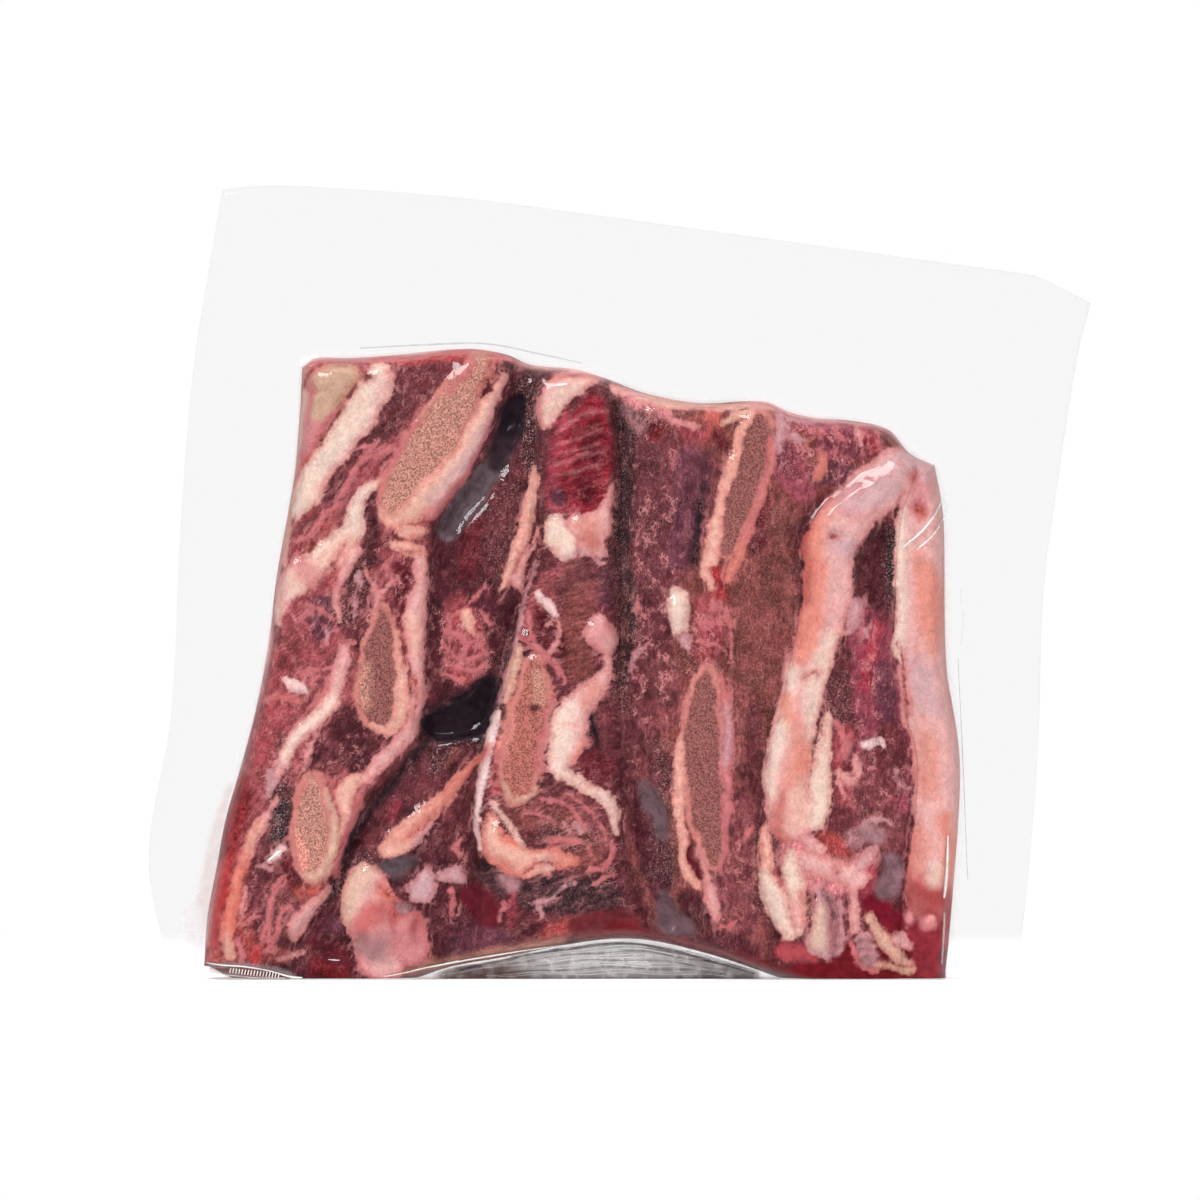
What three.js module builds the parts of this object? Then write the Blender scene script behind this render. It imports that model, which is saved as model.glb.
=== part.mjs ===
import * as THREE from 'three';

// Beef ribs pack: cross-cut short ribs frozen into one uneven block, in a clear pouch that is drawn
// tight over them and welded all round. Millimetres, +Z up. The pack stands on two low feet of the
// block, with a film web across the arch between them. Its show face looks to -Y, and the origin is
// the middle of the underside of the pack's box.

// ---- Driving dimensions ----

const BLOCK_DEPTH = 46; // front to back over the meat
const FILM_DEPTH = 1.0; // the two sheets, where nothing lies between them
const EDGE_ROUND = 11; // the block reaches its full depth this far in from its outline
const TENT_DEPTH = 2.4; // how far the sheets still stand apart just outside the block
const TENT_REACH = 3; // and over what distance they come together
const WEB_HEIGHT = 2; // lowest row of the mesh above the floor, also under the feet
const CROWN = 2.6; // how far the middle of a rib strip stands proud of its borders
const CROWN_REACH = 15; // the crown is full this far in from a strip's border
const GROOVE_REACH = 7; // half the width of the groove between two strips
const MARGIN_WAVE = 3.2; // how far the free margin bends out of the flat
const MARGIN_CALM = 45; // the margin reaches its full wave this far out from the block
const BLEND = 8; // relief fades out over this distance towards the block's outline

// ---- Outlines, as [height, x] going up and [x, height] going right ----

const POUCH_LEFT = [
  [0, -137], [10, -142], [38, -147], [82, -140], [140, -137], [190, -133], [228, -127], [246, -124],
];
const POUCH_RIGHT = [
  [0, 123], [12, 125], [40, 128], [75, 130.5], [120, 132], [165, 138], [196, 143], [210.5, 147],
];
const POUCH_TOP = [
  [-124, 246], [-101, 247.5], [-50, 243.5], [30, 233], [110, 222], [130, 219], [147, 210.5],
];
const BLOCK_TOP = [
  [-99, 190], [-85, 193], [-52, 196], [-38, 195], [-20, 190.5], [0, 185], [20, 180], [45, 180],
  [60, 175], [80, 172], [90, 164], [98, 159],
];
const BLOCK_UNDERSIDE = [
  [-128, 4], [-117, -2], [-102, -4], [-80, -4], [-66, -1], [-52, 4], [-35, 7], [-15, 11], [0, 12.5],
  [15, 10.8], [30, 7], [43, 3], [56, -2], [68, -4], [90, -4], [102, -1],
];

// The upright lines that part the rib strips, from the block's left edge to its right edge. Each has
// the depth of its groove on the show face and on the back.
const STRIP_LINES = [
  {
    // left edge of the block
    line: [[4, -128], [20, -127], [50, -121], [85, -112.5], [125, -107], [158, -101], [190, -99]],
    front: 0, back: 0,
  },
  {
    // right-hand border of the long piece with three bones
    line: [
      [4, -107], [18, -99], [32, -89], [52, -81], [67, -69], [85, -62], [115, -60], [140, -59],
      [159, -47], [176, -38], [192, -33],
    ],
    front: 6, back: 5,
  },
  {
    // left-hand border of the middle piece
    line: [[4, -47], [24, -43], [42, -43], [56, -44], [74, -41], [100, -34], [128, -25], [190, -26]],
    front: 4.5, back: 4,
  },
  {
    // frosty seam right of the middle piece
    line: [[4, 12], [30, 4], [48, -1], [95, -1], [150, 1], [182, 1]],
    front: 5, back: 5,
  },
  {
    // left-hand border of the fat cap
    line: [
      [4, 49], [20, 46], [38, 42], [58, 43.5], [78, 47.5], [100, 53], [120, 56], [140, 57], [149, 62],
      [156, 75], [162, 90],
    ],
    front: 3, back: 5,
  },
  {
    // border between the last rib piece and the strip at the pack's right edge
    line: [[4, 87], [30, 88], [50, 91], [70, 92], [88, 87.5], [105, 85.5], [130, 87], [148, 90], [161, 94.5]],
    front: 3.5, back: 3,
  },
  {
    // right edge of the block
    line: [[2, 101.5], [30, 104], [65, 106], [82, 104.5], [105, 101.5], [145, 100.5], [160, 98]],
    front: 0, back: 0,
  },
];

// ---- Relief: each form follows a line of [x, height] with a half-width and a height out of the face ----

const FRONT_FORMS = [
  // the six bone sections, each standing a little proud
  { line: [[-44, 188], [-58, 166], [-70, 147]], half: 8, rise: 2.2 },
  { line: [[-73, 114], [-72, 80]], half: 6.5, rise: 2.2 },
  { line: [[-95, 58], [-95, 34]], half: 6, rise: 2.0 },
  { line: [[-26, 96], [-32, 59]], half: 6, rise: 2.2 },
  { line: [[43, 174], [37, 150], [31, 132]], half: 6.5, rise: 2.2 },
  { line: [[27, 88], [28, 50], [29, 34]], half: 7, rise: 2.2 },
  // bands and lumps of fat
  { line: [[-76, 188], [-86, 166], [-99, 148]], half: 5.5, rise: 1.8 },
  { line: [[-78, 151], [-88, 134], [-104, 120]], half: 4.5, rise: 1.6 },
  { line: [[-12, 96], [-16, 74], [-8, 57]], half: 7, rise: 2.2 },
  { line: [[-5, 109], [-5, 105]], half: 6, rise: 2.4 },
  { line: [[18, 119], [18, 109]], half: 5.5, rise: 2.2 },
  { line: [[88, 156], [70, 144], [63, 125], [58, 100], [52, 72], [50, 52]], half: 7.5, rise: 2.4 },
  { line: [[-84, 28], [-72, 14]], half: 10, rise: 2.6 },
  { line: [[-40, 50], [-34, 38], [-10, 38]], half: 7, rise: 2.0 },
  { line: [[60, 34], [60, 12]], half: 9, rise: 2.4 },
  // hollows where the film dips between the pieces
  { line: [[-32, 177], [-42, 157], [-54, 143]], half: 6, rise: -8.5 },
  { line: [[-55, 83], [-44, 86]], half: 8.5, rise: -9 },
  { line: [[-72, 36], [-64, 36]], half: 4.5, rise: -4 },
  { line: [[80, 135], [78, 118]], half: 7, rise: -5.5 },
  { line: [[14, 25], [12, 50]], half: 7, rise: -3 },
  { line: [[83, 34], [81, 24]], half: 6, rise: -3.5 },
];
const BACK_FORMS = [
  { line: [[-52, 182], [-68, 150]], half: 8, rise: 2.2 },
  { line: [[-79, 110], [-76, 76]], half: 7, rise: 2.2 },
  { line: [[-99, 54], [-100, 30]], half: 6, rise: 2.0 },
  { line: [[-22, 92], [-28, 56]], half: 6.5, rise: 2.2 },
  { line: [[36, 168], [30, 128]], half: 7, rise: 2.2 },
  { line: [[24, 84], [24, 34]], half: 7, rise: 2.2 },
  { line: [[-92, 172], [-98, 128]], half: 6, rise: 1.8 },
  { line: [[84, 150], [68, 132], [62, 96], [56, 56]], half: 8, rise: 2.4 },
  { line: [[-10, 168], [-12, 138]], half: 8, rise: 2.2 },
  { line: [[-72, 22], [-58, 14]], half: 9, rise: 2.4 },
  { line: [[-56, 128], [-52, 104]], half: 7, rise: -6 },
  { line: [[72, 104], [72, 76]], half: 7, rise: -5 },
  { line: [[6, 60], [8, 34]], half: 7, rise: -4 },
];

// ---- How the mesh is divided ----

const MARGIN_COLUMNS = 4;
const STRIP_COLUMNS = [10, 7, 7, 11, 7, 4];
const BLOCK_ROWS = 38;
const RIM_SHARES = [0.957, 0.977, 0.992]; // closer rows where the block's top is round
const TOP_ROWS = 5;

// ---- Small mathematics ----

const { lerp, clamp, smoothstep } = THREE.MathUtils;

// A smooth function through the given [input, value] pairs, level beyond both ends.
function smoothCurve(pairs) {
  const slope = (index) => {
    const before = pairs[Math.max(index - 1, 0)];
    const after = pairs[Math.min(index + 1, pairs.length - 1)];
    return (after[1] - before[1]) / (after[0] - before[0]);
  };
  return (input) => {
    const at = clamp(input, pairs[0][0], pairs[pairs.length - 1][0]);
    let index = 0;
    while (index < pairs.length - 2 && at > pairs[index + 1][0]) index += 1;
    const [start, end] = [pairs[index], pairs[index + 1]];
    const width = end[0] - start[0];
    const t = (at - start[0]) / width;
    const startWeight = (1 + 2 * t) * (1 - t) * (1 - t);
    const endWeight = t * t * (3 - 2 * t);
    const startTangent = t * (1 - t) * (1 - t) * width * slope(index);
    const endTangent = t * t * (t - 1) * width * slope(index + 1);
    return startWeight * start[1] + endWeight * end[1] + startTangent + endTangent;
  };
}

// Distance from a point to a chain of straight pieces.
function distanceToChain(chain, x, z) {
  let nearest = Infinity;
  for (let i = 0; i + 1 < chain.length; i += 1) {
    const [ax, az] = chain[i];
    const [bx, bz] = chain[i + 1];
    const [dx, dz] = [bx - ax, bz - az];
    const t = clamp(((x - ax) * dx + (z - az) * dz) / (dx * dx + dz * dz), 0, 1);
    nearest = Math.min(nearest, Math.hypot(x - ax - t * dx, z - az - t * dz));
  }
  return nearest;
}

function isInside(loop, x, z) {
  let inside = false;
  for (let i = 0; i + 1 < loop.length; i += 1) {
    const [ax, az] = loop[i];
    const [bx, bz] = loop[i + 1];
    const crosses = az > z !== bz > z;
    if (crosses && x < ((bx - ax) * (z - az)) / (bz - az) + ax) inside = !inside;
  }
  return inside;
}

// ---- The block's outline and depth ----

const pouchLeft = smoothCurve(POUCH_LEFT);
const pouchRight = smoothCurve(POUCH_RIGHT);
const pouchTop = smoothCurve(POUCH_TOP);
const blockTop = smoothCurve(BLOCK_TOP);
const blockUnderside = smoothCurve(BLOCK_UNDERSIDE);
const stripLines = STRIP_LINES.map((strip) => smoothCurve(strip.line));
const blockLeft = stripLines[0];
const blockRight = stripLines[stripLines.length - 1];

function sampled(curve, start, end, steps, toPoint) {
  const points = [];
  for (let i = 0; i < steps; i += 1) {
    const at = lerp(start, end, i / steps);
    points.push(toPoint(at, curve(at)));
  }
  return points;
}

function blockOutline() {
  const [left, right] = [BLOCK_TOP[0], BLOCK_TOP[BLOCK_TOP.length - 1]];
  const upright = (height, x) => [x, height];
  const level = (x, height) => [x, height];
  const loop = [
    ...sampled(blockLeft, BLOCK_UNDERSIDE[0][1], left[1], 24, upright),
    ...sampled(blockTop, left[0], right[0], 28, level),
    ...sampled(blockRight, right[1], BLOCK_UNDERSIDE[BLOCK_UNDERSIDE.length - 1][1], 20, upright),
    ...sampled(blockUnderside, blockRight(0), BLOCK_UNDERSIDE[0][0], 32, level),
  ];
  return [...loop, loop[0]];
}

const outline = blockOutline();

// The borders between the strips as chains of points, with their groove depths.
const innerBorders = STRIP_LINES.slice(1, -1).map((strip) => {
  const [low, high] = [strip.line[0][0], strip.line[strip.line.length - 1][0]];
  const chain = sampled(smoothCurve(strip.line), low, high, 24, (height, x) => [x, height]);
  return { chain, front: strip.front, back: strip.back };
});

// How far a point lies inside the block's outline, negative outside it.
function depthInside(x, z) {
  const distance = distanceToChain(outline, x, z);
  return isInside(outline, x, z) ? distance : -distance;
}

// Half the depth of the plain block: round at its edge, then a thin tent of film round about.
function plainHalfDepth(inside) {
  const film = FILM_DEPTH / 2;
  if (inside <= 0) return film + TENT_DEPTH * Math.exp(inside / TENT_REACH);
  const edge = film + TENT_DEPTH;
  const outward = 1 - Math.min(inside / EDGE_ROUND, 1);
  return edge + (BLOCK_DEPTH / 2 - edge) * Math.sqrt(1 - outward * outward);
}

// The free margin bends softly out of the flat.
function marginWave(x, z, inside) {
  const reach = smoothstep(-inside, 2, MARGIN_CALM);
  const lengthwise = Math.sin(x / 34 + 0.6);
  const upright = Math.sin(z / 27 + x / 90);
  return MARGIN_WAVE * reach * (0.6 * lengthwise + 0.4 * upright);
}

// ---- Relief of the pieces ----

function formsRise(forms, x, z) {
  let rise = 0;
  for (const form of forms) {
    const distance = distanceToChain(form.line, x, z);
    rise += form.rise * (1 - smoothstep(distance, form.half * 0.35, form.half * 1.25));
  }
  return rise;
}

// The strips stand proud between the grooves along their borders.
function stripRise(x, z, face) {
  let groove = 0;
  let nearest = CROWN_REACH;
  for (const border of innerBorders) {
    const distance = distanceToChain(border.chain, x, z);
    groove = Math.max(groove, border[face] * (1 - smoothstep(distance, 0, GROOVE_REACH)));
    nearest = Math.min(nearest, distance);
  }
  return CROWN * smoothstep(nearest, 0, CROWN_REACH) - groove;
}

function unevenness(x, z, shift) {
  return 0.7 * Math.sin(x / 13 + z / 31 + shift) + 0.6 * Math.sin(z / 11 - x / 40 + 2 * shift);
}

function relief(x, z, inside, face) {
  if (inside <= 0) return 0;
  const forms = face === 'front' ? FRONT_FORMS : BACK_FORMS;
  const shift = face === 'front' ? 0 : 2.1;
  const rise = stripRise(x, z, face) + formsRise(forms, x, z) - CROWN;
  return (rise + unevenness(x, z, shift)) * smoothstep(inside, 0, BLEND);
}

// ---- The mesh: columns follow the strip lines, rows follow the underside and the top ----

// Columns from left to right, each lying at a share `part` of the way between two neighbouring
// upright lines. Near the block's sides they stand closer together, where its edge is round.
function makeColumns() {
  const last = STRIP_LINES.length - 1;
  const columns = [];
  const spread = (share, strip) => {
    if (strip === 0) return share ** 1.6;
    if (strip === last - 1) return 1 - (1 - share) ** 1.6;
    return share;
  };
  for (let i = 0; i < MARGIN_COLUMNS; i += 1) {
    columns.push({ from: 'pouchLeft', to: 0, part: (i / MARGIN_COLUMNS) ** 0.7 });
  }
  STRIP_COLUMNS.forEach((count, strip) => {
    for (let i = 0; i < count; i += 1) {
      columns.push({ from: strip, to: strip + 1, part: spread(i / count, strip) });
    }
  });
  for (let i = 0; i <= MARGIN_COLUMNS; i += 1) {
    columns.push({ from: last, to: 'pouchRight', part: (i / MARGIN_COLUMNS) ** 1.4 });
  }
  return columns;
}

// Rows from the floor up: the lower edge, the block and the top margin.
function makeRows() {
  const rows = [{ zone: 'floor', share: 0 }];
  for (let i = 0; i < BLOCK_ROWS; i += 1) {
    rows.push({ zone: 'block', share: (0.935 * i) / (BLOCK_ROWS - 1) });
  }
  for (const share of RIM_SHARES) rows.push({ zone: 'block', share });
  for (let i = 0; i <= TOP_ROWS; i += 1) rows.push({ zone: 'top', share: (i / TOP_ROWS) ** 1.3 });
  return rows;
}

function rowHeight(row, x) {
  const low = Math.max(WEB_HEIGHT, blockUnderside(x));
  if (row.zone === 'floor') return 0;
  if (row.zone === 'block') return lerp(low, blockTop(x), row.share);
  return lerp(blockTop(x), pouchTop(x), row.share);
}

// Where an upright line crosses a row, found by moving back and forth between height and x.
function crossing(curve, row) {
  let x = curve(100);
  for (let pass = 0; pass < 12; pass += 1) x = lerp(x, curve(rowHeight(row, x)), 0.8);
  return x;
}

function columnX(column, row, position) {
  const curveOf = (name) => {
    if (name === 'pouchLeft') return pouchLeft;
    return name === 'pouchRight' ? pouchRight : stripLines[name];
  };
  if (row.zone !== 'top') {
    return lerp(crossing(curveOf(column.from), row), crossing(curveOf(column.to), row), column.part);
  }
  // Over the block the columns fan out evenly towards the pouch's top edge.
  const base = { zone: 'top', share: 0 };
  const [left, right] = [crossing(pouchLeft, row), crossing(pouchRight, row)];
  const [baseLeft, baseRight] = [crossing(pouchLeft, base), crossing(pouchRight, base)];
  const baseX = lerp(crossing(curveOf(column.from), base), crossing(curveOf(column.to), base), column.part);
  const baseShare = (baseX - baseLeft) / (baseRight - baseLeft);
  return lerp(left, right, lerp(baseShare, position, row.share));
}

function makeVertices(columns, rows) {
  const grid = rows.map((row) => columns.map((column, index) => {
    const x = columnX(column, row, index / (columns.length - 1));
    const z = rowHeight(row, x);
    const inside = depthInside(x, z);
    const half = plainHalfDepth(inside);
    return {
      x,
      z,
      middle: marginWave(x, z, inside),
      front: half + relief(x, z, inside, 'front'),
      back: half + relief(x, z, inside, 'back'),
    };
  }));
  // Both faces are brought to exactly half the block's depth at their highest point.
  for (const face of ['front', 'back']) {
    const highest = Math.max(...grid.flat().map((point) => point[face]));
    const scale = BLOCK_DEPTH / 2 / highest;
    for (const point of grid.flat()) point[face] = Math.max(point[face] * scale, FILM_DEPTH / 2);
  }
  return grid;
}

// Two sheets over the same grid, front and back, joined round the edge into one closed body.
function sheetsToGeometry(grid) {
  const rowCount = grid.length;
  const columnCount = grid[0].length;
  const sheetSize = rowCount * columnCount;
  const positions = [];
  for (const side of [-1, 1]) {
    for (const point of grid.flat()) {
      const away = side < 0 ? point.front : point.back;
      positions.push(point.x, point.middle + side * away, point.z);
    }
  }
  const faces = [];
  const quad = (a, b, c, d) => faces.push(a, b, c, a, c, d);
  for (let row = 0; row + 1 < rowCount; row += 1) {
    for (let column = 0; column + 1 < columnCount; column += 1) {
      const a = row * columnCount + column;
      const b = a + 1;
      const c = b + columnCount;
      const d = a + columnCount;
      quad(a, b, c, d);
      quad(sheetSize + a, sheetSize + d, sheetSize + c, sheetSize + b);
    }
  }
  const edge = [];
  for (let column = 0; column < columnCount; column += 1) edge.push(column);
  for (let row = 1; row < rowCount; row += 1) edge.push(row * columnCount + columnCount - 1);
  for (let column = columnCount - 2; column >= 0; column -= 1) edge.push((rowCount - 1) * columnCount + column);
  for (let row = rowCount - 2; row > 0; row -= 1) edge.push(row * columnCount);
  edge.forEach((a, index) => {
    const b = edge[(index + 1) % edge.length];
    quad(a, sheetSize + a, sheetSize + b, b);
  });
  const geometry = new THREE.BufferGeometry();
  geometry.setAttribute('position', new THREE.Float32BufferAttribute(positions, 3));
  geometry.setIndex(faces);
  geometry.computeVertexNormals();
  return geometry;
}

// ---- The pack ----

function makeSealedBag() {
  const material = new THREE.MeshStandardMaterial({ color: 0x93504f, roughness: 0.32, metalness: 0 });
  const mesh = new THREE.Mesh(sheetsToGeometry(makeVertices(makeColumns(), makeRows())), material);
  mesh.name = 'sealed_bag';
  return mesh;
}

const pack = new THREE.Group();
pack.add(makeSealedBag());

export default pack;
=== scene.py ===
import math

import bpy
import numpy as np
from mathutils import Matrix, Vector
from mathutils.bvhtree import BVHTree


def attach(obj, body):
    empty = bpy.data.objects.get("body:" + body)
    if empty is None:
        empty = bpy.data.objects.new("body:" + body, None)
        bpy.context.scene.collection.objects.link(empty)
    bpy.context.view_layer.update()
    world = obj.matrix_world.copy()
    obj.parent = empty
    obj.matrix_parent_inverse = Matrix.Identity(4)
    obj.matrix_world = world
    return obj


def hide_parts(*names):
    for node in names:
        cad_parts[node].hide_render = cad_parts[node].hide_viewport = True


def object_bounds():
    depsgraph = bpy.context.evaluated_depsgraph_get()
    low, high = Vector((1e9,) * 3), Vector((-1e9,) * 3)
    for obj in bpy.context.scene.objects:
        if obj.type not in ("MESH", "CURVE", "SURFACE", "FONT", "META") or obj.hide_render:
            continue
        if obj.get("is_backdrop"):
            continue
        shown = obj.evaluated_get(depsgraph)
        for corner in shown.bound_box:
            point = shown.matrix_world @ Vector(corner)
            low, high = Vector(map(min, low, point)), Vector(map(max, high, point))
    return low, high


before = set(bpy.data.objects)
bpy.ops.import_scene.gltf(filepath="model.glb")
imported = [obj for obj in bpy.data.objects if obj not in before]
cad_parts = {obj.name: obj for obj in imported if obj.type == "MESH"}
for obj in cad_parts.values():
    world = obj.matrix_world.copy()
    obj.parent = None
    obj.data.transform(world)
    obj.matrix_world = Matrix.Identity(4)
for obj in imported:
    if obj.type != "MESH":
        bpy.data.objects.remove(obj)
cad_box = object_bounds()

MM = 0.001
TINY = 1e-9  # the square of a length below this counts as no length

# ---------------------------------------------------------------------------
# Sizes, in millimetres. x runs to the right of the show face and z is the height.
# ---------------------------------------------------------------------------

HALF_DEPTH = 22.4  # from the middle plane to the highest meat, just under the film
EDGE_HALF_DEPTH = 1.2  # half-depth of the meat right at the block's outline
EDGE_ROUND = 5.5  # the block reaches its full depth this far in from its outline
FLOOR_GAP = 0.5  # the meat starts this far above the floor
WALL_BLEND = 0.9  # the two faces' colours run together this near to the outline
PIECE_GAP = 0.02  # clearance of a piece to the border line that it shares
SEAM_REACH = 1.5  # a piece rolls over this near to its border
SEAM_DROP = 0.3  # and lies this much lower at the border itself
SEAM_SHADE = 4.0  # painted shade: lean meat darkens this near to the seam between two pieces
SEAM_SHADE_STRENGTH = 0.85
RIM_WIDTH = 2.2  # the block is pale this near to its outline: pale membrane, and painted light on the rounded edge
RIM_STRENGTH = 0.85
RIM_CALM = 0.6  # the pale rim is this much smoother than the meat
RIM_FULL = 0.2  # and fully pale this near to it
RIM_PATCH = 12  # length of the pale stretches
RIM_BREAK = (-0.7, 0.1)  # values of the noise between which they set in
RIM_FOOT = (40, 90)  # heights between which the rim sets in
BONE_RIM = 1.5  # pale ring round a bone's marrow
CROWN = 1.8  # how far the middle of a strip stands proud
CROWN_REACH = 14  # distance from the borders at which it does so
PALE_RISE = 0.5  # fat and bone rims stand proud of the lean meat
PALE_SWELL = 1.0  # and a broad band of fat swells further towards its middle
BONE_RISE = 1.1
MESH_PITCH = 0.62  # size of the meat's mesh cells

FILM_GAP = 0.38  # the film lies this far off the meat
SHEET_HALF_GAP = 0.16  # half the distance between the sheets where nothing lies between them
TENT_REACH = 2.6  # how far from the block the two sheets come together
MARGIN_WAVE = 2.6  # how far the free margin bends out of the flat
MARGIN_START = 2  # it starts this far from the block
MARGIN_FULL = 45  # and is complete this far from it
# Waves of the free margin: (share, wavelength over 2 pi in x and in z, start).
MARGIN_WAVES = [(0.6, 34, math.inf, 0.6), (0.4, 90, 27, 0)]
MARGIN_RIPPLE = (14, 0.3)  # (size of the lumps, height)
FILM_PITCH = 1.35  # size of the film's mesh cells over the block
WEB_LOW = 1.0  # lowest row of the film's mesh over the feet
WEB_ROWS = 5  # rows and columns of the film's mesh outside the block
TOP_ROWS = 30
MARGIN_COLUMNS = 20
TOP_CROWDING = 1.3  # powers by which these rows and columns crowd towards the block
MARGIN_CROWDING = 1.5
BLOCK_WIDTH = 212.0  # nominal sizes, from which the meshes work out their number of cells
BLOCK_HEIGHT = 190.0
CLOSING_CELLS = 3  # the film bridges hollows narrower than twice this many mesh cells
SOFTENING = 2  # passes of smoothing where it does
HALVINGS = 40  # enough to find a height exactly
FOOT_HEIGHTS = (-10, 60)  # heights between which the block's foot, its top and the pouch's rim lie
HEAD_HEIGHTS = (120, 215)
RIM_HEIGHTS = (150, 260)

RELIEF_ROOM = 3.6  # the plain face lies this far under the highest meat
LEVEL_BLEND = 2.0  # half the width of the step from one strip to the next
RELIEF_NOISE = [(9, 0.6), (3.2, 0.28)]  # (size of the lumps, height)
RELIEF_BACK = 3  # its seed is the size of the lumps, and this much more on the back
PALE_EDGE = (-0.6, 0.6)  # distances inside an edge between which the face rises or falls
SWELL_EDGE = (-0.5, 4.0)
BONE_EDGE = (-1.5, 0.6)
HOLLOW_EDGE = (-1.8, 2.0)
OUTLINE_POINTS = {"left": 50, "top": 70, "right": 45, "underside": 80}
MEAT_GRAIN = (1.5, 0.12)
WARPS = [(6, 0.75), (2, 0.35)]  # (size of the bends, how far they move a mark)
BACK_SHIFT = {"x": -2.5, "z": 4.0, "bend": 4.5}  # the back shows the same bones, a little off
BACK_BEND_SIZE = 34
STROKE_STEP = 2.5  # a path is drawn in straight steps of about this length
LEAST_HALF_WIDTH = 0.1
FIELD_REACH = 4.0  # a mark is felt this far outside its edge
PATCH_REACH = 3.0  # and a patch of frost, marbling or haze, or a hollow, this far
PATCH_FULL = 1.5  # frost and marbling reach their full strength this far inside a patch

# Each noise has its own turn and place in the random lattice. Where both faces have a noise,
# the back's uses the next number.
SEEDS = {"warp_x": 2, "margin": 3, "warp_z": 4, "bend_x": 5, "grain": 6, "bend_z": 8, "rim": 9}

# Outlines of the pouch and the block: (height, x) going up and (x, height) going right.
POUCH_LEFT = [
    (0, -136.6), (5, -139.5), (12, -142.5), (30, -146.4), (38, -146.8), (50, -145.8), (82, -140),
    (140, -137), (190, -133), (228, -127), (246, -124),
]
POUCH_RIGHT = [
    (0, 123), (12, 125), (40, 128), (75, 130.5), (120, 132), (165, 138), (196, 143), (210.5, 146.8),
]
POUCH_TOP = [
    (-124, 246), (-116, 247), (-101, 247.2), (-50, 243.5), (30, 233), (110, 222), (129, 219.3),
    (131, 218.6), (147, 210.5),
]
BLOCK_TOP = [
    (-99, 190.5), (-95, 193.5), (-85, 193.5), (-70, 194.5), (-55, 196), (-45, 196.3), (-35, 194.5),
    (-28, 191.5), (-14, 190), (-4, 187), (8, 182.5), (25, 179.5), (45, 180), (52, 177), (60, 175),
    (72, 174), (84, 171), (90, 164), (98, 160),
]
BLOCK_UNDERSIDE = [
    (-128, 4), (-120, 0), (-112, -3), (-102, -4), (-80, -4), (-70, -2), (-60, 1.5), (-52, 4), (-35, 7),
    (-20, 10), (-8, 12), (2, 12.6), (12, 11.6), (25, 8.5), (36, 5.2), (48, 1), (58, -2.5), (68, -4),
    (90, -4), (102, -1),
]

# Upright border lines between the pieces, from the block's left edge to its right edge, as
# (height, x) pairs, with the groove's depth and the half-width of that groove.
BORDERS = [
    {"line": [(4, -129.6), (20, -128.4), (35, -125.6), (50, -122.8), (68, -117.6), (85, -113.2),
              (105, -109.4), (125, -107), (142, -104), (158, -101.3), (176, -99.8), (190, -99)]},
    {"line": [(4, -108), (12, -103), (18, -98.5), (26, -91.5), (32, -88.5), (38, -86.5), (45, -83.5),
              (52, -80), (58, -77), (62, -73), (67, -68), (73, -64), (80, -62), (95, -60.3),
              (115, -59.3), (128, -58.5), (140, -57.5), (146, -55), (152, -51), (159, -46.5),
              (168, -41), (176, -37.5), (184, -35), (192, -32.5)], "groove": 1.4, "half": 5},
    {"line": [(4, -46), (16, -44), (30, -43.5), (42, -44.5), (56, -45.5), (66, -44), (74, -42),
              (86, -39), (96, -36), (108, -33), (118, -30), (128, -27), (136, -25.5), (190, -26.5)],
     "groove": 1.0, "half": 3.5},
    {"line": [(4, 12), (16, 9), (30, 4), (40, 1), (48, 0.5), (60, 0.5), (95, 0), (120, 0.5), (150, 0),
              (165, 0), (178, -2), (190, -3)], "groove": 1.5, "half": 4},
    {"line": [(4, 49), (14, 48), (22, 46), (30, 43.5), (38, 42), (48, 43), (58, 43.5), (66, 45),
              (74, 46.5), (80, 49), (90, 51), (100, 53), (110, 55), (120, 57), (130, 56), (137, 54.5),
              (142, 57), (148, 62), (153, 70), (157, 77), (162, 84), (166, 88)],
     "groove": 1.0, "half": 3.5},
    {"line": [(4, 88), (15, 87), (28, 88), (38, 89.5), (50, 91.5), (60, 92.3), (70, 92.2), (80, 89.5),
              (90, 87.5), (98, 85.5), (104, 84.3), (112, 85), (130, 86), (140, 87), (148, 88.5),
              (156, 91.5), (163, 93)], "groove": 1.0, "half": 3},
    {"line": [(2, 101.5), (12, 102.5), (30, 104), (50, 105.5), (65, 106), (75, 105.3), (85, 103.7),
              (95, 102), (110, 101.3), (140, 101), (150, 100), (160, 98)]},
]

# The strips between the border lines: how high each lies, and which way its fibres run.
STRIPS = [
    {"name": "rib_three_bones", "level": 0.0, "fibre": 55},
    {"name": "rib_sunk", "level": -4.2, "fibre": 70},
    {"name": "rib_centre", "level": -0.3, "fibre": 20},
    {"name": "rib_brown_muscle", "level": -0.9, "fibre": 88},
    {"name": "rib_fat_cap", "level": 0.2, "fibre": 80},
    {"name": "edge_flap", "level": -1.8, "fibre": 88},
]

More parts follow.
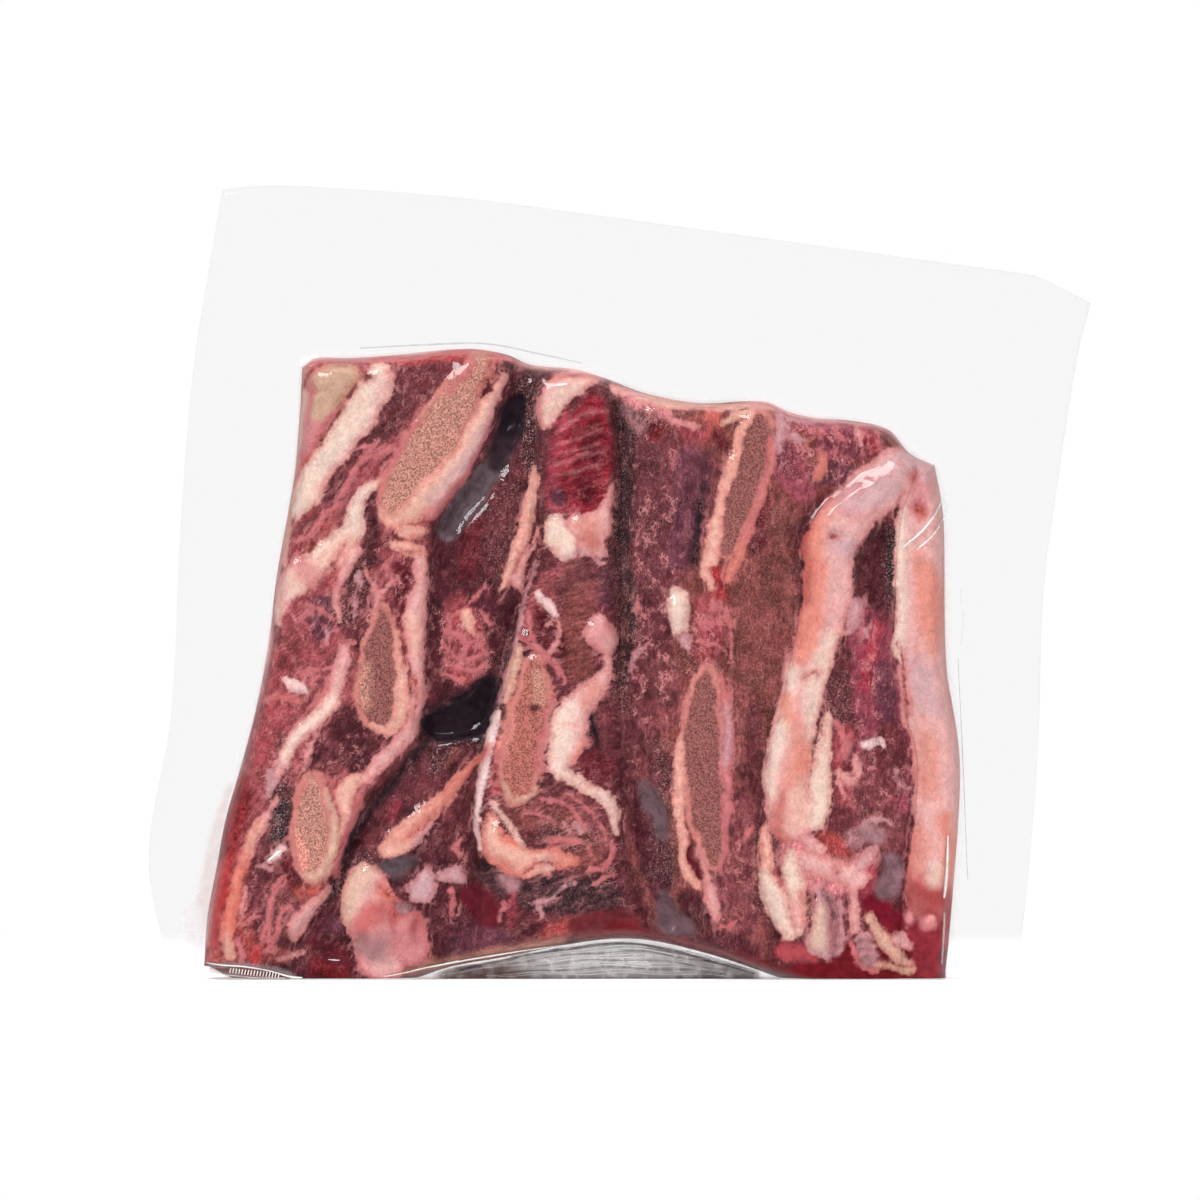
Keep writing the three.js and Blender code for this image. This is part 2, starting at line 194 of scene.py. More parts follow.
# Hollows (negative) and swellings of the faces: rise, then (x, z, half-width) along each path.
HOLLOWS = [
    (-3, (-31.4, 179, 3, -35, 167, 3.5, -40.4, 158, 3.5, -47, 150, 4, -52.4, 143, 4)),
    (-4.5, (-60, 79, 4, -52, 81, 6, -45, 84, 6, -41, 91, 4)),
    (-3, (-73, 35, 2, -65, 36, 2.5), (82, 138, 3, 79, 130, 5, 78, 121, 5)),
    (-2.6, (8, 56, 3, 11, 46, 5, 9, 38, 4)),
    (-2.4, (12, 24, 3, 16, 18, 3)),
    (-3.2, (85, 36, 2.5, 83, 29, 3.5)),
    (-2.6, (0, 178, 2, 1, 150, 3, 0, 120, 3, 1, 98, 2)),
    (-2.4, (-80, 54, 1.2, -84, 42, 1.8, -88, 31, 1)),
    (-1.5, (66.5, 24, 1.5, 66.5, 10, 1.2)),
    (-2, (-8.2, 83, 1, -6.8, 73, 0.8)),
    (-2.2, (-22, 109, 3.5, -20, 103, 2.5)),
    (-1.6, (22, 41, 1, 24.5, 33, 1.2)),
    (2, (-85, 29, 4, -80, 20, 5, -74, 10, 5)),
    (1.5, (-38, 44, 4, -28, 38, 4.5)),
    (1.6, (-6, 107, 5)),
    (1.4, (18, 115, 3.5)),
    (1.6, (61, 24, 2, 62, 12, 4)),
    (1.2, (88, 12, 4, 80, 15, 2)),
    (1.4, (84, 158, 5, 72, 147, 7, 62, 128, 6, 58, 104, 5, 52, 76, 5, 50, 50, 4)),
    (1, (-66, 137, 4), (-84, 60, 3, -85, 52, 2)),
]

# ---------------------------------------------------------------------------
# Colours, as sRGB values that were read off
# ---------------------------------------------------------------------------

TONES = {
    "meat": (142, 72, 76), "meat_red": (148, 70, 74), "meat_dark": (98, 46, 52),
    "meat_deep": (80, 34, 42), "meat_purple": (120, 64, 68), "meat_brown": (124, 68, 64),
    "crimson": (134, 28, 46), "crimson_deep": (104, 20, 36), "maroon": (92, 28, 38),
    "magenta": (152, 58, 72), "brick": (150, 66, 64), "violet": (100, 54, 68),
    "black": (36, 25, 33), "charcoal": (52, 36, 44), "slate": (96, 80, 86), "mauve": (150, 108, 112),
    "cream": (228, 200, 186), "ivory": (234, 210, 196), "pink": (222, 168, 164),
    "rose": (204, 132, 134), "peach": (230, 180, 164), "salmon": (216, 142, 128),
    "orange": (222, 134, 116), "rust": (186, 94, 84), "beige": (198, 160, 138),
    "coral": (194, 100, 96), "coral_deep": (156, 66, 72), "dusk": (132, 98, 106),
    "white": (238, 224, 220), "lilac": (202, 162, 166), "sand": (216, 180, 160),
    "marrow": (182, 128, 114), "marrow_red": (168, 100, 90),
    "marrow_brown": (140, 86, 82), "juice": (162, 54, 56), "juice_dark": (104, 22, 30),
    "juice_deep": (134, 26, 32),
    "glint": (252, 250, 248), "film_white_and_sheen": (236, 228, 230), "film_lilac": (216, 182, 180),
    "film_shadow_grey": (164, 156, 156), "film_shade": (62, 48, 52), "film_brown": (98, 58, 50),
    "juice_orange": (190, 88, 78), "brown_film": (150, 98, 86), "frost": (202, 166, 163),
    "vein": (208, 134, 134), "juice_wine": (126, 40, 50), "juice_brown": (98, 38, 42),
    "seam_dark": (58, 36, 42), "meat_wine": (134, 64, 78),
    "meat_umber": (99, 49, 56), "bubble": (100, 76, 82), "rim": (230, 180, 176),
    "bone_rim": (210, 150, 140),
}

# ---------------------------------------------------------------------------
# What is seen on the cut faces. Each entry is (kind, tone, one path or more), and each path is a
# smooth line of (x, z, half-width) with round ends. Later marks lie over earlier ones.
#   lean    paints the meat, with a soft edge     pale  fat, rind, rim or sinew, with a sharp edge
#   thread  a thin soft line in the lean meat     tint  colours what is pale already
#   marrow  a bone's spongy middle                cut   lean that cuts into what is pale
#   pool    smooth: juice, a gap or a film bubble
# ---------------------------------------------------------------------------

LEFT_PIECE = [
    ("pale", "rose", (-38, 186, 1, -41, 178, 2.2, -44.6, 169, 2.9, -50, 159, 3.5, -55.4, 150.6, 3.3,
      -59, 145, 2.2), (-73.2, 165.8, 0.4, -79.8, 162.5, 0.35, -84.4, 156.6, 0.3, -87, 150, 0.2),
     (-75, 166.6, 0.3, -83.7, 163.8, 0.4, -89.6, 161.2, 0.3, -96.2, 156, 0.25),
     (-86.3, 136.3, 0.4, -88.3, 125.8, 0.4, -87, 115.3, 0.3),
     (-100.8, 132.3, 0.3, -91.6, 135, 0.4, -85, 138.9, 0.3),
     (-78.5, 125.8, 0.3, -74.6, 120.5, 0.4, -73.2, 116.6, 0.3),
     (-99, 117.6, 0.4, -91.6, 114, 0.4, -87.7, 108.7, 0.3)),
    ("pale", "salmon", (-52.3, 177, 0.5, -60.1, 170.6, 0.7, -67.6, 160.8, 0.9, -72.4, 153, 1, -73, 147, 1.1,
      -70.6, 143, 1.2)),
    # pale rim along the top edge: membrane, and painted light on the edge
    ("pale", "rose", (-94, 192, 0.4, -80, 192.4, 0.6, -66, 193.2, 0.5, -52, 194.8, 0.6, -41, 195, 0.6,
      -32, 191.6, 0.5)),
    ("lean", "meat_dark", (-60, 192, 8, -72, 180, 8, -82, 165, 6, -92, 152, 4)),
    ("lean", "meat", (-100, 118, 8, -104, 100, 8, -108, 84, 8, -113, 66, 6)),
    ("lean", "meat_red", (-106, 98, 5, -108, 84, 5, -112, 70, 4)),
    ("lean", "violet", (-93, 116, 4, -93, 108, 3)),
    ("lean", "meat_dark", (-82, 130, 4, -84, 118, 6, -80, 106, 4)),
    ("lean", "meat_deep", (-77, 150, 1.6, -77, 140, 2.6, -77, 131, 3)),
    ("lean", "meat_dark", (-76, 80, 5, -78, 70, 7, -88, 74, 6, -93, 66, 5)),
    ("lean", "meat_deep", (-84, 82, 4, -84, 73, 5, -79, 67, 4)),
    ("lean", "meat_dark", (-104, 56, 5, -106, 44, 5, -110, 34, 5)),
    ("lean", "charcoal", (-105, 54, 2.4, -106, 44, 2.2)),
    ("lean", "meat_dark", (-111, 34, 5, -112, 22, 7, -110, 10, 7)),
    ("lean", "meat_purple", (-103, 28, 3, -106, 18, 4)),
    ("lean", "brick", (-112, 9, 3, -106, 7, 2)),
    ("lean", "maroon", (-104, 34, 3, -99, 30, 2)),
    # the cut end of cartilage at the top corner, with what lies round it
    ("pale", "rose", (-95, 190, 2.5, -98, 182, 2.5, -99, 170, 3.5, -101, 160, 2.5, -103, 148, 1.8)),
    ("pale", "sand", (-98, 189, 1.2, -99.5, 176, 1.4, -101, 164, 1.2, -103.5, 150, 1)),
    ("pale", "rose", (-92, 180, 4.5, -94, 172, 4.5, -96, 166, 3.5)),
    ("pale", "beige", (-92, 186, 3.6, -87, 187.5, 3.6, -84, 187, 3, -91, 181, 4, -94, 176, 2.5)),
    ("cut", "brick", (-98, 184.5, 0.9, -97, 188, 0.8, -93.5, 190.5, 0.6, -87, 191.5, 0.5)),
    ("cut", "meat_brown", (-82, 184.5, 0.7, -86, 178, 1.2, -91, 171, 1, -94.5, 165.5, 0.7)),
    ("cut", "rust", (-98, 163, 0.6, -99, 158, 1, -100, 154, 0.5)),
    ("pale", "lilac", (-90, 193.5, 1.4, -80, 193.2, 0.9)),
    # thick band of fat down from the top
    ("pale", "cream", (-75, 189, 3.4, -75.5, 185, 4.8, -78, 180, 5, -81.5, 175, 5, -85, 170, 4.8,
      -88.5, 165, 4.6, -93, 160, 4.2, -96, 155, 4.3, -98, 150, 4.3, -100.5, 146, 2.8)),
    ("tint", "pink", (-72, 188, 2, -76, 174, 1.4, -85, 162, 1.4, -92, 153, 1.4)),
    ("pool", "meat_brown", (-79, 187.3, 1.5)),
    ("pale", "rose", (-70.5, 165, 0.7, -76, 163, 0.8, -81, 160, 0.8, -84, 156, 0.9, -87, 150.5, 0.9),
     (-87.5, 148, 0.6, -92, 143, 0.8, -96, 139, 0.5, -100, 136, 0.5)),
    ("lean", "brick", (-90, 142, 1.6, -96, 135, 2, -99, 132, 1.4)),
    # second band of fat
    ("pale", "cream", (-74, 155, 1, -78, 152.5, 1.5, -81, 149, 2.4, -82.5, 143, 3, -84, 138, 3.6,
      -88, 134, 4.3, -93, 131, 5, -98, 127, 5.4, -103, 122, 3.8, -105.5, 116, 2, -106, 111, 1)),
    ("pale", "pink", (-83, 133, 2.4, -85.5, 128, 1.6, -88, 122, 1.2, -88.6, 117, 1, -87.4, 112, 0.6)),
    ("pale", "sand", (-102.4, 150, 1.2, -103.8, 140, 1.3, -105, 130, 1.2)),
    ("tint", "pink", (-104, 130, 3, -105, 118, 2)),
    ("tint", "peach", (-84, 136, 2, -92, 130, 2, -99, 125, 2)),
    ("cut", "brick", (-86, 134.5, 0.3, -88, 129, 0.8, -90, 123, 0.7),
     (-93, 138.5, 0.4, -97, 134, 1.1, -99.5, 132, 0.8)),
    # upper bone
    ("marrow", "marrow", (-43, 193, 2.2, -44.5, 189, 3, -47.5, 184, 4.4, -52, 177, 5.8, -57, 169, 6.4,
      -62, 161, 6.5, -66.5, 153.5, 6.2, -69, 149, 5)),
    ("pale", "peach", (-36.5, 187, 1.2, -39.5, 182, 2.2, -42.5, 175, 2.8, -46.5, 168, 3, -51, 161, 3.3,
      -56, 154.5, 3.5, -61, 149, 3.3, -66, 144.8, 2.6, -71, 143, 1.8, -74, 147, 1)),
    ("pale", "rose", (-75.5, 153, 0.5, -73, 158, 0.8, -69.5, 163.5, 0.8, -66.5, 169, 1, -62, 173, 0.5),
     (-53, 182, 0.5, -48, 188, 0.7, -46, 193.5, 0.8)),
    ("tint", "lilac", (-35.5, 186, 1, -39, 176, 1.2, -44.5, 167, 1.2, -52, 157, 1.2, -58, 149, 1)),
    ("cut", "maroon", (-41, 186.5, 1.1, -41, 184, 1.5, -42.5, 180.5, 0.6)),
    ("cut", "brick", (-39.8, 194, 0.4, -41, 189, 0.4, -43, 183, 0.4)),
    # soft knot under the upper bone, and the fascia that runs on down the right-hand border
    ("lean", "maroon", (-68, 139, 2, -72, 136, 2)),
    ("pale", "peach", (-66.5, 139.5, 2.2, -62.5, 140, 1.8), (-70, 135, 1.6, -66, 134.6, 1.7, -62, 132.5, 2)),
    ("pale", "pink", (-62.3, 130, 2.1, -62, 122, 2.1, -63.5, 113, 3.8, -63.5, 105, 3, -62.5, 96, 2.3,
      -62.6, 88, 1.9, -64, 80, 2, -67, 75, 2.2, -72, 70, 2, -76, 65, 2, -80, 60.5, 1.4)),
    ("tint", "salmon", (-64, 137.5, 1.2, -61.5, 136, 0.8)),
    ("tint", "peach", (-65, 112, 2, -64.5, 104, 1.5)),
    ("cut", "brick", (-70, 133.3, 0.3, -65, 133.2, 0.35, -60, 133, 0.3)),
    ("cut", "maroon", (-68.5, 128, 2.2, -67, 125, 1.8),
     (-67.5, 121, 1.9, -68, 115, 1.6, -70, 109, 0.6, -68, 103, 0.35)),
    ("cut", "rust", (-63.8, 95, 0.5, -62.8, 89, 0.6, -63.6, 82, 0.4)),
    # net of sinew beside it
    ("pale", "pink", (-79.5, 127, 0.5, -77, 123, 0.6, -75, 120.8, 0.7, -71.5, 123, 0.7, -69.8, 126, 0.5),
     (-75, 120.6, 0.6, -76, 117, 0.5, -77.5, 114, 0.4)),
    ("pale", "rose", (-73, 128.5, 0.4, -71, 125.5, 0.6, -70, 123, 0.4)),
    ("pale", "lilac", (-82.5, 119, 0.4, -82, 116, 0.45, -82.5, 113, 0.35)),
    ("pale", "rose", (-97, 110.5, 0.5, -98.5, 113, 0.6, -95.5, 114.3, 0.4)),
    ("pale", "lilac", (-90.5, 108, 0.9, -90.2, 106.5, 0.8)),
    ("pale", "rose", (-87, 105.2, 0.4, -84, 105.4, 0.5, -82.5, 104, 0.4)),
    ("pale", "lilac", (-81.5, 125.5, 1.2, -80.5, 123.5, 0.9)),
    # middle bone
    ("marrow", "marrow_brown", (-74, 114, 1.8, -74.4, 106, 3.6, -75, 98, 4.8, -75, 90, 5.5, -74.6, 84, 5.2,
      -74, 81.5, 4)),
    ("lean", "marrow", (-79, 97, 1.6, -79.2, 86, 2)),
    ("pale", "peach", (-70, 108, 0.8, -69, 100, 1.5, -68, 92, 2.1, -67.8, 86, 2.3, -69, 80.6, 2.2,
      -72.5, 77.6, 1.9, -77.5, 78.6, 1)),
    # third band of fat
    ("pale", "pink", (-86, 103.5, 0.9, -86, 100, 1.8, -87, 95, 2.2, -88.7, 89, 2.7, -91, 84.5, 3,
      -94.5, 80.5, 2.5, -98.5, 77, 2.7, -101.5, 73.5, 2.4, -104, 69.5, 2.1, -106, 65.5, 1.6,
      -107.5, 61, 0.9)),
    ("tint", "ivory", (-90, 86, 2.4, -93, 82, 2, -100, 75.5, 1.8, -104, 69, 1.4)),
    ("pale", "white", (-103, 93.6, 1.1, -100.8, 91.4, 1.6, -98.5, 90, 0.9)),
    ("pale", "rose", (-99, 94.5, 0.5, -96.5, 97, 0.6, -93, 96, 0.5, -90, 97, 0.4),
     (-97, 92, 0.4, -93.5, 94, 0.6, -90.5, 92.5, 0.7, -93, 87.5, 0.6, -97, 84.5, 0.4),
     (-108, 87, 0.4, -103, 88, 0.6, -99.5, 87, 0.4)),
    ("pale", "pink", (-93.5, 76, 0.3, -96, 72.5, 0.4, -98.5, 66, 0.3)),
    ("pale", "lilac", (-108.5, 65, 1, -107.5, 61.5, 1.6, -109, 58, 0.8)),
    # lower bone and the lobe beside it
    ("pale", "rose", (-94, 65.5, 0.4, -90.5, 62, 0.5, -88.5, 57, 0.6, -86, 51, 0.4)),
    ("marrow", "marrow", (-95.6, 62.5, 1.8, -96, 56, 3.6, -96, 50, 4.5, -96, 44, 4.6, -96, 38, 4.2,
      -95.5, 34, 2.8)),
    ("lean", "salmon", (-99.5, 43, 1.2, -99, 35, 1.6)),
    ("pale", "sand", (-91.6, 59, 0.7, -89.8, 54, 1.3, -88.8, 49, 1.8, -88.8, 44, 1.9, -89.8, 39, 1.9,
      -91.8, 35, 1.9, -95, 32, 1.5, -99, 33, 0.8)),
    ("pale", "peach", (-82, 62.5, 2.2, -84.3, 59.5, 3, -85, 56, 3, -84.6, 52, 2, -85.6, 46, 0.9)),
    ("pale", "rose", (-79.6, 60, 1, -82, 54, 0.9, -84.6, 47, 0.9, -87, 39, 0.8, -89, 33, 1.1)),
    ("cut", "brick", (-88.5, 62, 0.3, -89, 57, 0.5, -86.5, 52, 0.3)),
    ("lean", "juice_orange", (-98.5, 28, 2, -94.5, 28.8, 1.6)),
    ("pale", "pink", (-91, 28.5, 0.9, -94, 25, 1.7, -97, 21.5, 2.3, -100, 17.3, 2.3, -102, 13.8, 1.3)),
    # curling seams of fat at the foot
    ("pale", "rose", (-105, 32.5, 0.5, -108, 27, 0.9, -109.3, 20, 0.9, -109.3, 13.5, 0.8, -108.8, 8.8, 0.5),
     (-102, 22.5, 0.4, -105, 20.5, 0.7, -107, 14, 0.7, -108, 9.5, 0.5),
     (-118, 17, 0.4, -115, 19, 0.5, -112, 19.3, 0.4), (-110.5, 17, 0.8, -111.3, 12.5, 0.6)),
    ("pale", "pink", (-106.5, 56.5, 0.6, -109.5, 51, 1, -112.5, 45, 1.2, -115, 39, 0.8)),
    # white streak: a painted highlight
    ("pale", "white", (-109, 37.4, 0.7, -106.8, 39, 1, -104, 41.3, 0.6)),
    ("pale", "lilac", (-113, 35.5, 0.5, -110.5, 35.2, 0.7, -109, 34.5, 0.4)),
    ("pale", "pink", (-106.5, 6, 0.4, -102, 7.3, 0.6, -98.5, 8.6, 0.4)),
    # juice and fat along the left side
    ("lean", "juice_deep", (-116.6, 62, 1.6, -119, 53, 3.4, -121.4, 44, 3.2, -123.4, 36, 2.4, -125, 28, 2.4)),
    ("lean", "brick", (-117, 36, 2, -119, 28, 2, -117, 12, 4)),
    ("pool", "juice", (-123, 36, 1.6, -124.6, 28, 2.6, -126.4, 20, 2.6, -127.6, 13, 2.6)),
    ("lean", "rust", (-126.6, 8, 1.6, -124.6, 6, 1.4)),
    ("pale", "salmon", (-112.4, 49, 0.9, -115, 43, 1.5, -117.6, 36, 1.7, -119.2, 29, 1.8, -120.4, 23, 2,
      -121.6, 17, 2.2, -122, 12, 1.9, -121.6, 8, 1.8)),
    ("tint", "peach", (-112, 48, 1.4, -114.6, 42, 1.6)),
    ("tint", "orange", (-118.4, 33, 1.4, -120, 25, 1.8, -121.4, 17, 2)),
    ("tint", "sand", (-121.8, 11.6, 1.6, -121.4, 7.6, 2.2)),
    ("pale", "pink", (-116.4, 28.6, 0.4, -117, 25, 0.7, -117.8, 21, 0.5)),
    ("pale", "rose", (-118.4, 13, 0.8, -117.6, 8, 1.2)),
    ("lean", "juice", (-113, 7.4, 2)),
    # top edge
    ("lean", "juice", (-76, 192.6, 0.8, -64, 192.4, 0.9, -56, 193.4, 1.4, -48, 193.6, 1.3)),
    ("lean", "juice_orange", (-38, 194, 1.2, -34, 192, 1.6)),
    ("lean", "juice", (-36, 190.8, 1.2, -33.4, 190.6, 1.1)),
]

SUNK_PIECE = [
    ("lean", "meat_deep", (-34, 188, 5, -42, 160, 7, -50, 130, 9, -52, 108, 9, -50, 70, 10)),
    ("lean", "meat_dark", (-32, 168, 2.5, -36, 152, 4, -40, 138, 4, -40, 128, 3)),
    ("lean", "maroon", (-44, 150, 1.5, -46, 138, 2.5, -48, 126, 2.5)),
    ("lean", "meat_deep", (-54, 128, 3, -55, 112, 2)),
    ("lean", "meat_red", (-50, 116, 4, -48, 106, 6, -48, 98, 6)),
    ("lean", "meat_dark", (-58, 66, 4, -64, 58, 4, -72, 50, 4, -76, 42, 3)),
    ("lean", "magenta", (-69, 55, 1, -71.5, 50, 1.3)),
    ("lean", "meat_dark", (-46, 64, 4, -50, 54, 4, -52, 42, 4)),
    # two slender bones seen edge-on
    ("pale", "peach", (-27.5, 160, 0.6, -27, 155, 1.4, -27.3, 150, 1.7, -28.3, 145, 1.8, -29.8, 140, 1.8,
      -31.8, 134, 2, -34, 128, 1.6, -36.2, 123, 0.9, -38, 119.5, 0.4)),
    ("pale", "pink", (-25.6, 140, 0.5, -28, 133, 1.1, -30.5, 128, 1.7, -32, 124.5, 2, -30.5, 122, 1)),
    ("cut", "brick", (-26.5, 137, 0.25, -30, 130.5, 0.3, -33.5, 125.5, 0.25)),
    ("pale", "rose", (-41.5, 122, 0.3, -45, 118, 0.5, -49.5, 114, 0.5, -52.5, 112.5, 0.4)),
    # crumbly fat and lean
    ("pale", "peach", (-47.5, 114, 1.4, -46.8, 110.4, 1.9, -45.6, 107, 1)),
    ("pale", "rose", (-42.5, 113.5, 0.6, -40, 111, 0.8),
     (-54.5, 108.5, 0.35, -50.5, 107, 0.6, -48, 103.5, 0.5, -49.6, 101, 0.3),
     (-55, 104, 0.3, -51.6, 101.6, 0.5, -47, 99.6, 0.7, -42, 101, 0.4),
     (-54, 99.6, 0.3, -49.5, 97.2, 0.6, -45, 95.6, 0.6, -41.5, 98, 0.4),
     (-55.5, 95, 0.4, -51, 93.4, 0.6, -47.5, 93.6, 0.4),
     (-52.6, 114, 0.3, -53.6, 110.6, 0.4, -52, 105.4, 0.3),
     (-44, 108, 0.3, -42.4, 104.6, 0.5, -44.4, 102.4, 0.3)),
    # dark gaps that the film spans, their dark painted shade
    ("pool", "slate", (-36.6, 164.5, 2.8, -40, 158.4, 3.2, -45.2, 151.4, 3.6, -50.8, 143.8, 3.6,
      -54.4, 139, 2.4)),
    ("pool", "charcoal", (-33, 173, 3.6, -36, 167, 3.4, -38.5, 161, 2.4)),
    ("pool", "black", (-31, 181, 1.8, -33, 176.5, 3.6, -35, 171, 2.4)),
    ("lean", "charcoal", (-60, 80, 4, -52, 81, 6, -45, 84, 6.4, -41, 90, 4)),
    ("pool", "black", (-57, 77, 3, -50, 78, 4, -44, 80, 4),
     (-58.6, 79.4, 3.6, -52, 80.6, 4.6, -46, 83.8, 5.2, -42, 89, 3.6, -40, 93, 1.6)),
    # bands of fat low down
    ("pale", "peach", (-40, 73.5, 0.5, -45, 67.5, 1, -49.5, 62.5, 1.3, -54, 58, 1.8, -58.5, 53, 2.8,
      -63, 48, 4, -68, 43.5, 4.4, -72.5, 40.5, 2.6)),
    ("tint", "rust", (-41, 72, 1.2, -48, 64, 1.4, -55, 58.6, 0.8)),
    ("tint", "salmon", (-46, 66, 1.4, -56, 55, 1.8, -64, 46.5, 2.2, -70, 43, 2)),
    ("tint", "lilac", (-59, 47, 2, -62, 42, 2.4)),
    ("cut", "brick", (-57, 51.5, 0.4, -62, 47.6, 0.6, -66, 45, 0.4)),
    ("cut", "meat_brown", (-50, 71, 0.8, -56, 66, 0.6)),
    ("pool", "slate", (-72.5, 35, 2, -68, 35.6, 2.8, -63.5, 37.2, 0.9)),
    # round lump of fat at the left foot, and the translucent meat beside it
    ("lean", "meat_deep", (-92, 21, 3, -90, 14, 5)),
    ("lean", "violet", (-88, 17, 2.4)),
    ("lean", "maroon", (-94, 9, 4, -86, 7, 4)),
    ("lean", "juice_dark", (-94, 4, 3, -86, 2, 2)),
    ("pale", "pink", (-80, 31, 5.4, -78.4, 27, 7.8, -78.4, 20, 7.8, -76, 13, 7.2, -74, 7, 7.6)),
    ("pale", "rose", (-66, 17, 5.4, -64.6, 10, 5.4)),
    ("pale", "lilac", (-61.6, 28.4, 4.4, -60, 31.4, 2.6)),
    ("tint", "sand", (-79, 34, 2.8, -83, 29, 3.6, -84.4, 23, 3.4, -84, 18, 2)),
    ("tint", "rose", (-80, 16, 4, -75, 20, 4, -72, 12, 4)),
    ("tint", "coral", (-80.4, 16, 2.2, -77, 19.6, 3, -72.6, 22.6, 3.2, -71, 20, 1.8)),
    ("tint", "orange", (-73, 28, 1.6, -70, 26, 1.4)),
    ("tint", "mauve", (-80, 12, 2.4, -76, 9, 3.4, -73, 12, 2)),
    ("tint", "rose", (-80.6, 4.4, 2.4)),
    ("tint", "brick", (-63.6, 19, 1.4, -64, 13, 1.2)),
    ("tint", "rose", (-67, 12, 3)),
    ("cut", "rust", (-75, 29.4, 0.2, -72, 27.6, 0.35, -69.4, 25, 0.3)),
    ("cut", "maroon", (-66.6, 27.6, 1.2)),
    ("pool", "mauve", (-67.6, 22.6, 1.8)),
    ("lean", "meat_deep", (-58, 20, 2, -56.5, 12, 2.5, -56, 8, 2)),
    ("lean", "juice_orange", (-67, 18, 1.6, -63, 16, 1.6)),
    ("pale", "lilac", (-55.5, 32.5, 1.2, -52, 32.5, 2.6, -50, 31, 1.4)),
    ("pale", "rose", (-52.6, 27.5, 1, -52, 23, 0.8, -51.5, 20, 0.5),
     (-49, 37.5, 0.6, -51.5, 41, 0.8, -49.5, 44, 0.5)),
    # painted shade along the step down from the left piece to this sunk piece
    ("lean", "charcoal", (-61, 73, 1, -65, 68, 1.2, -71, 60, 1, -79, 52, 1, -83, 44, 1.4, -86, 36, 1.4,
      -89.5, 29, 0.8, -92.5, 23, 0.6)),
]

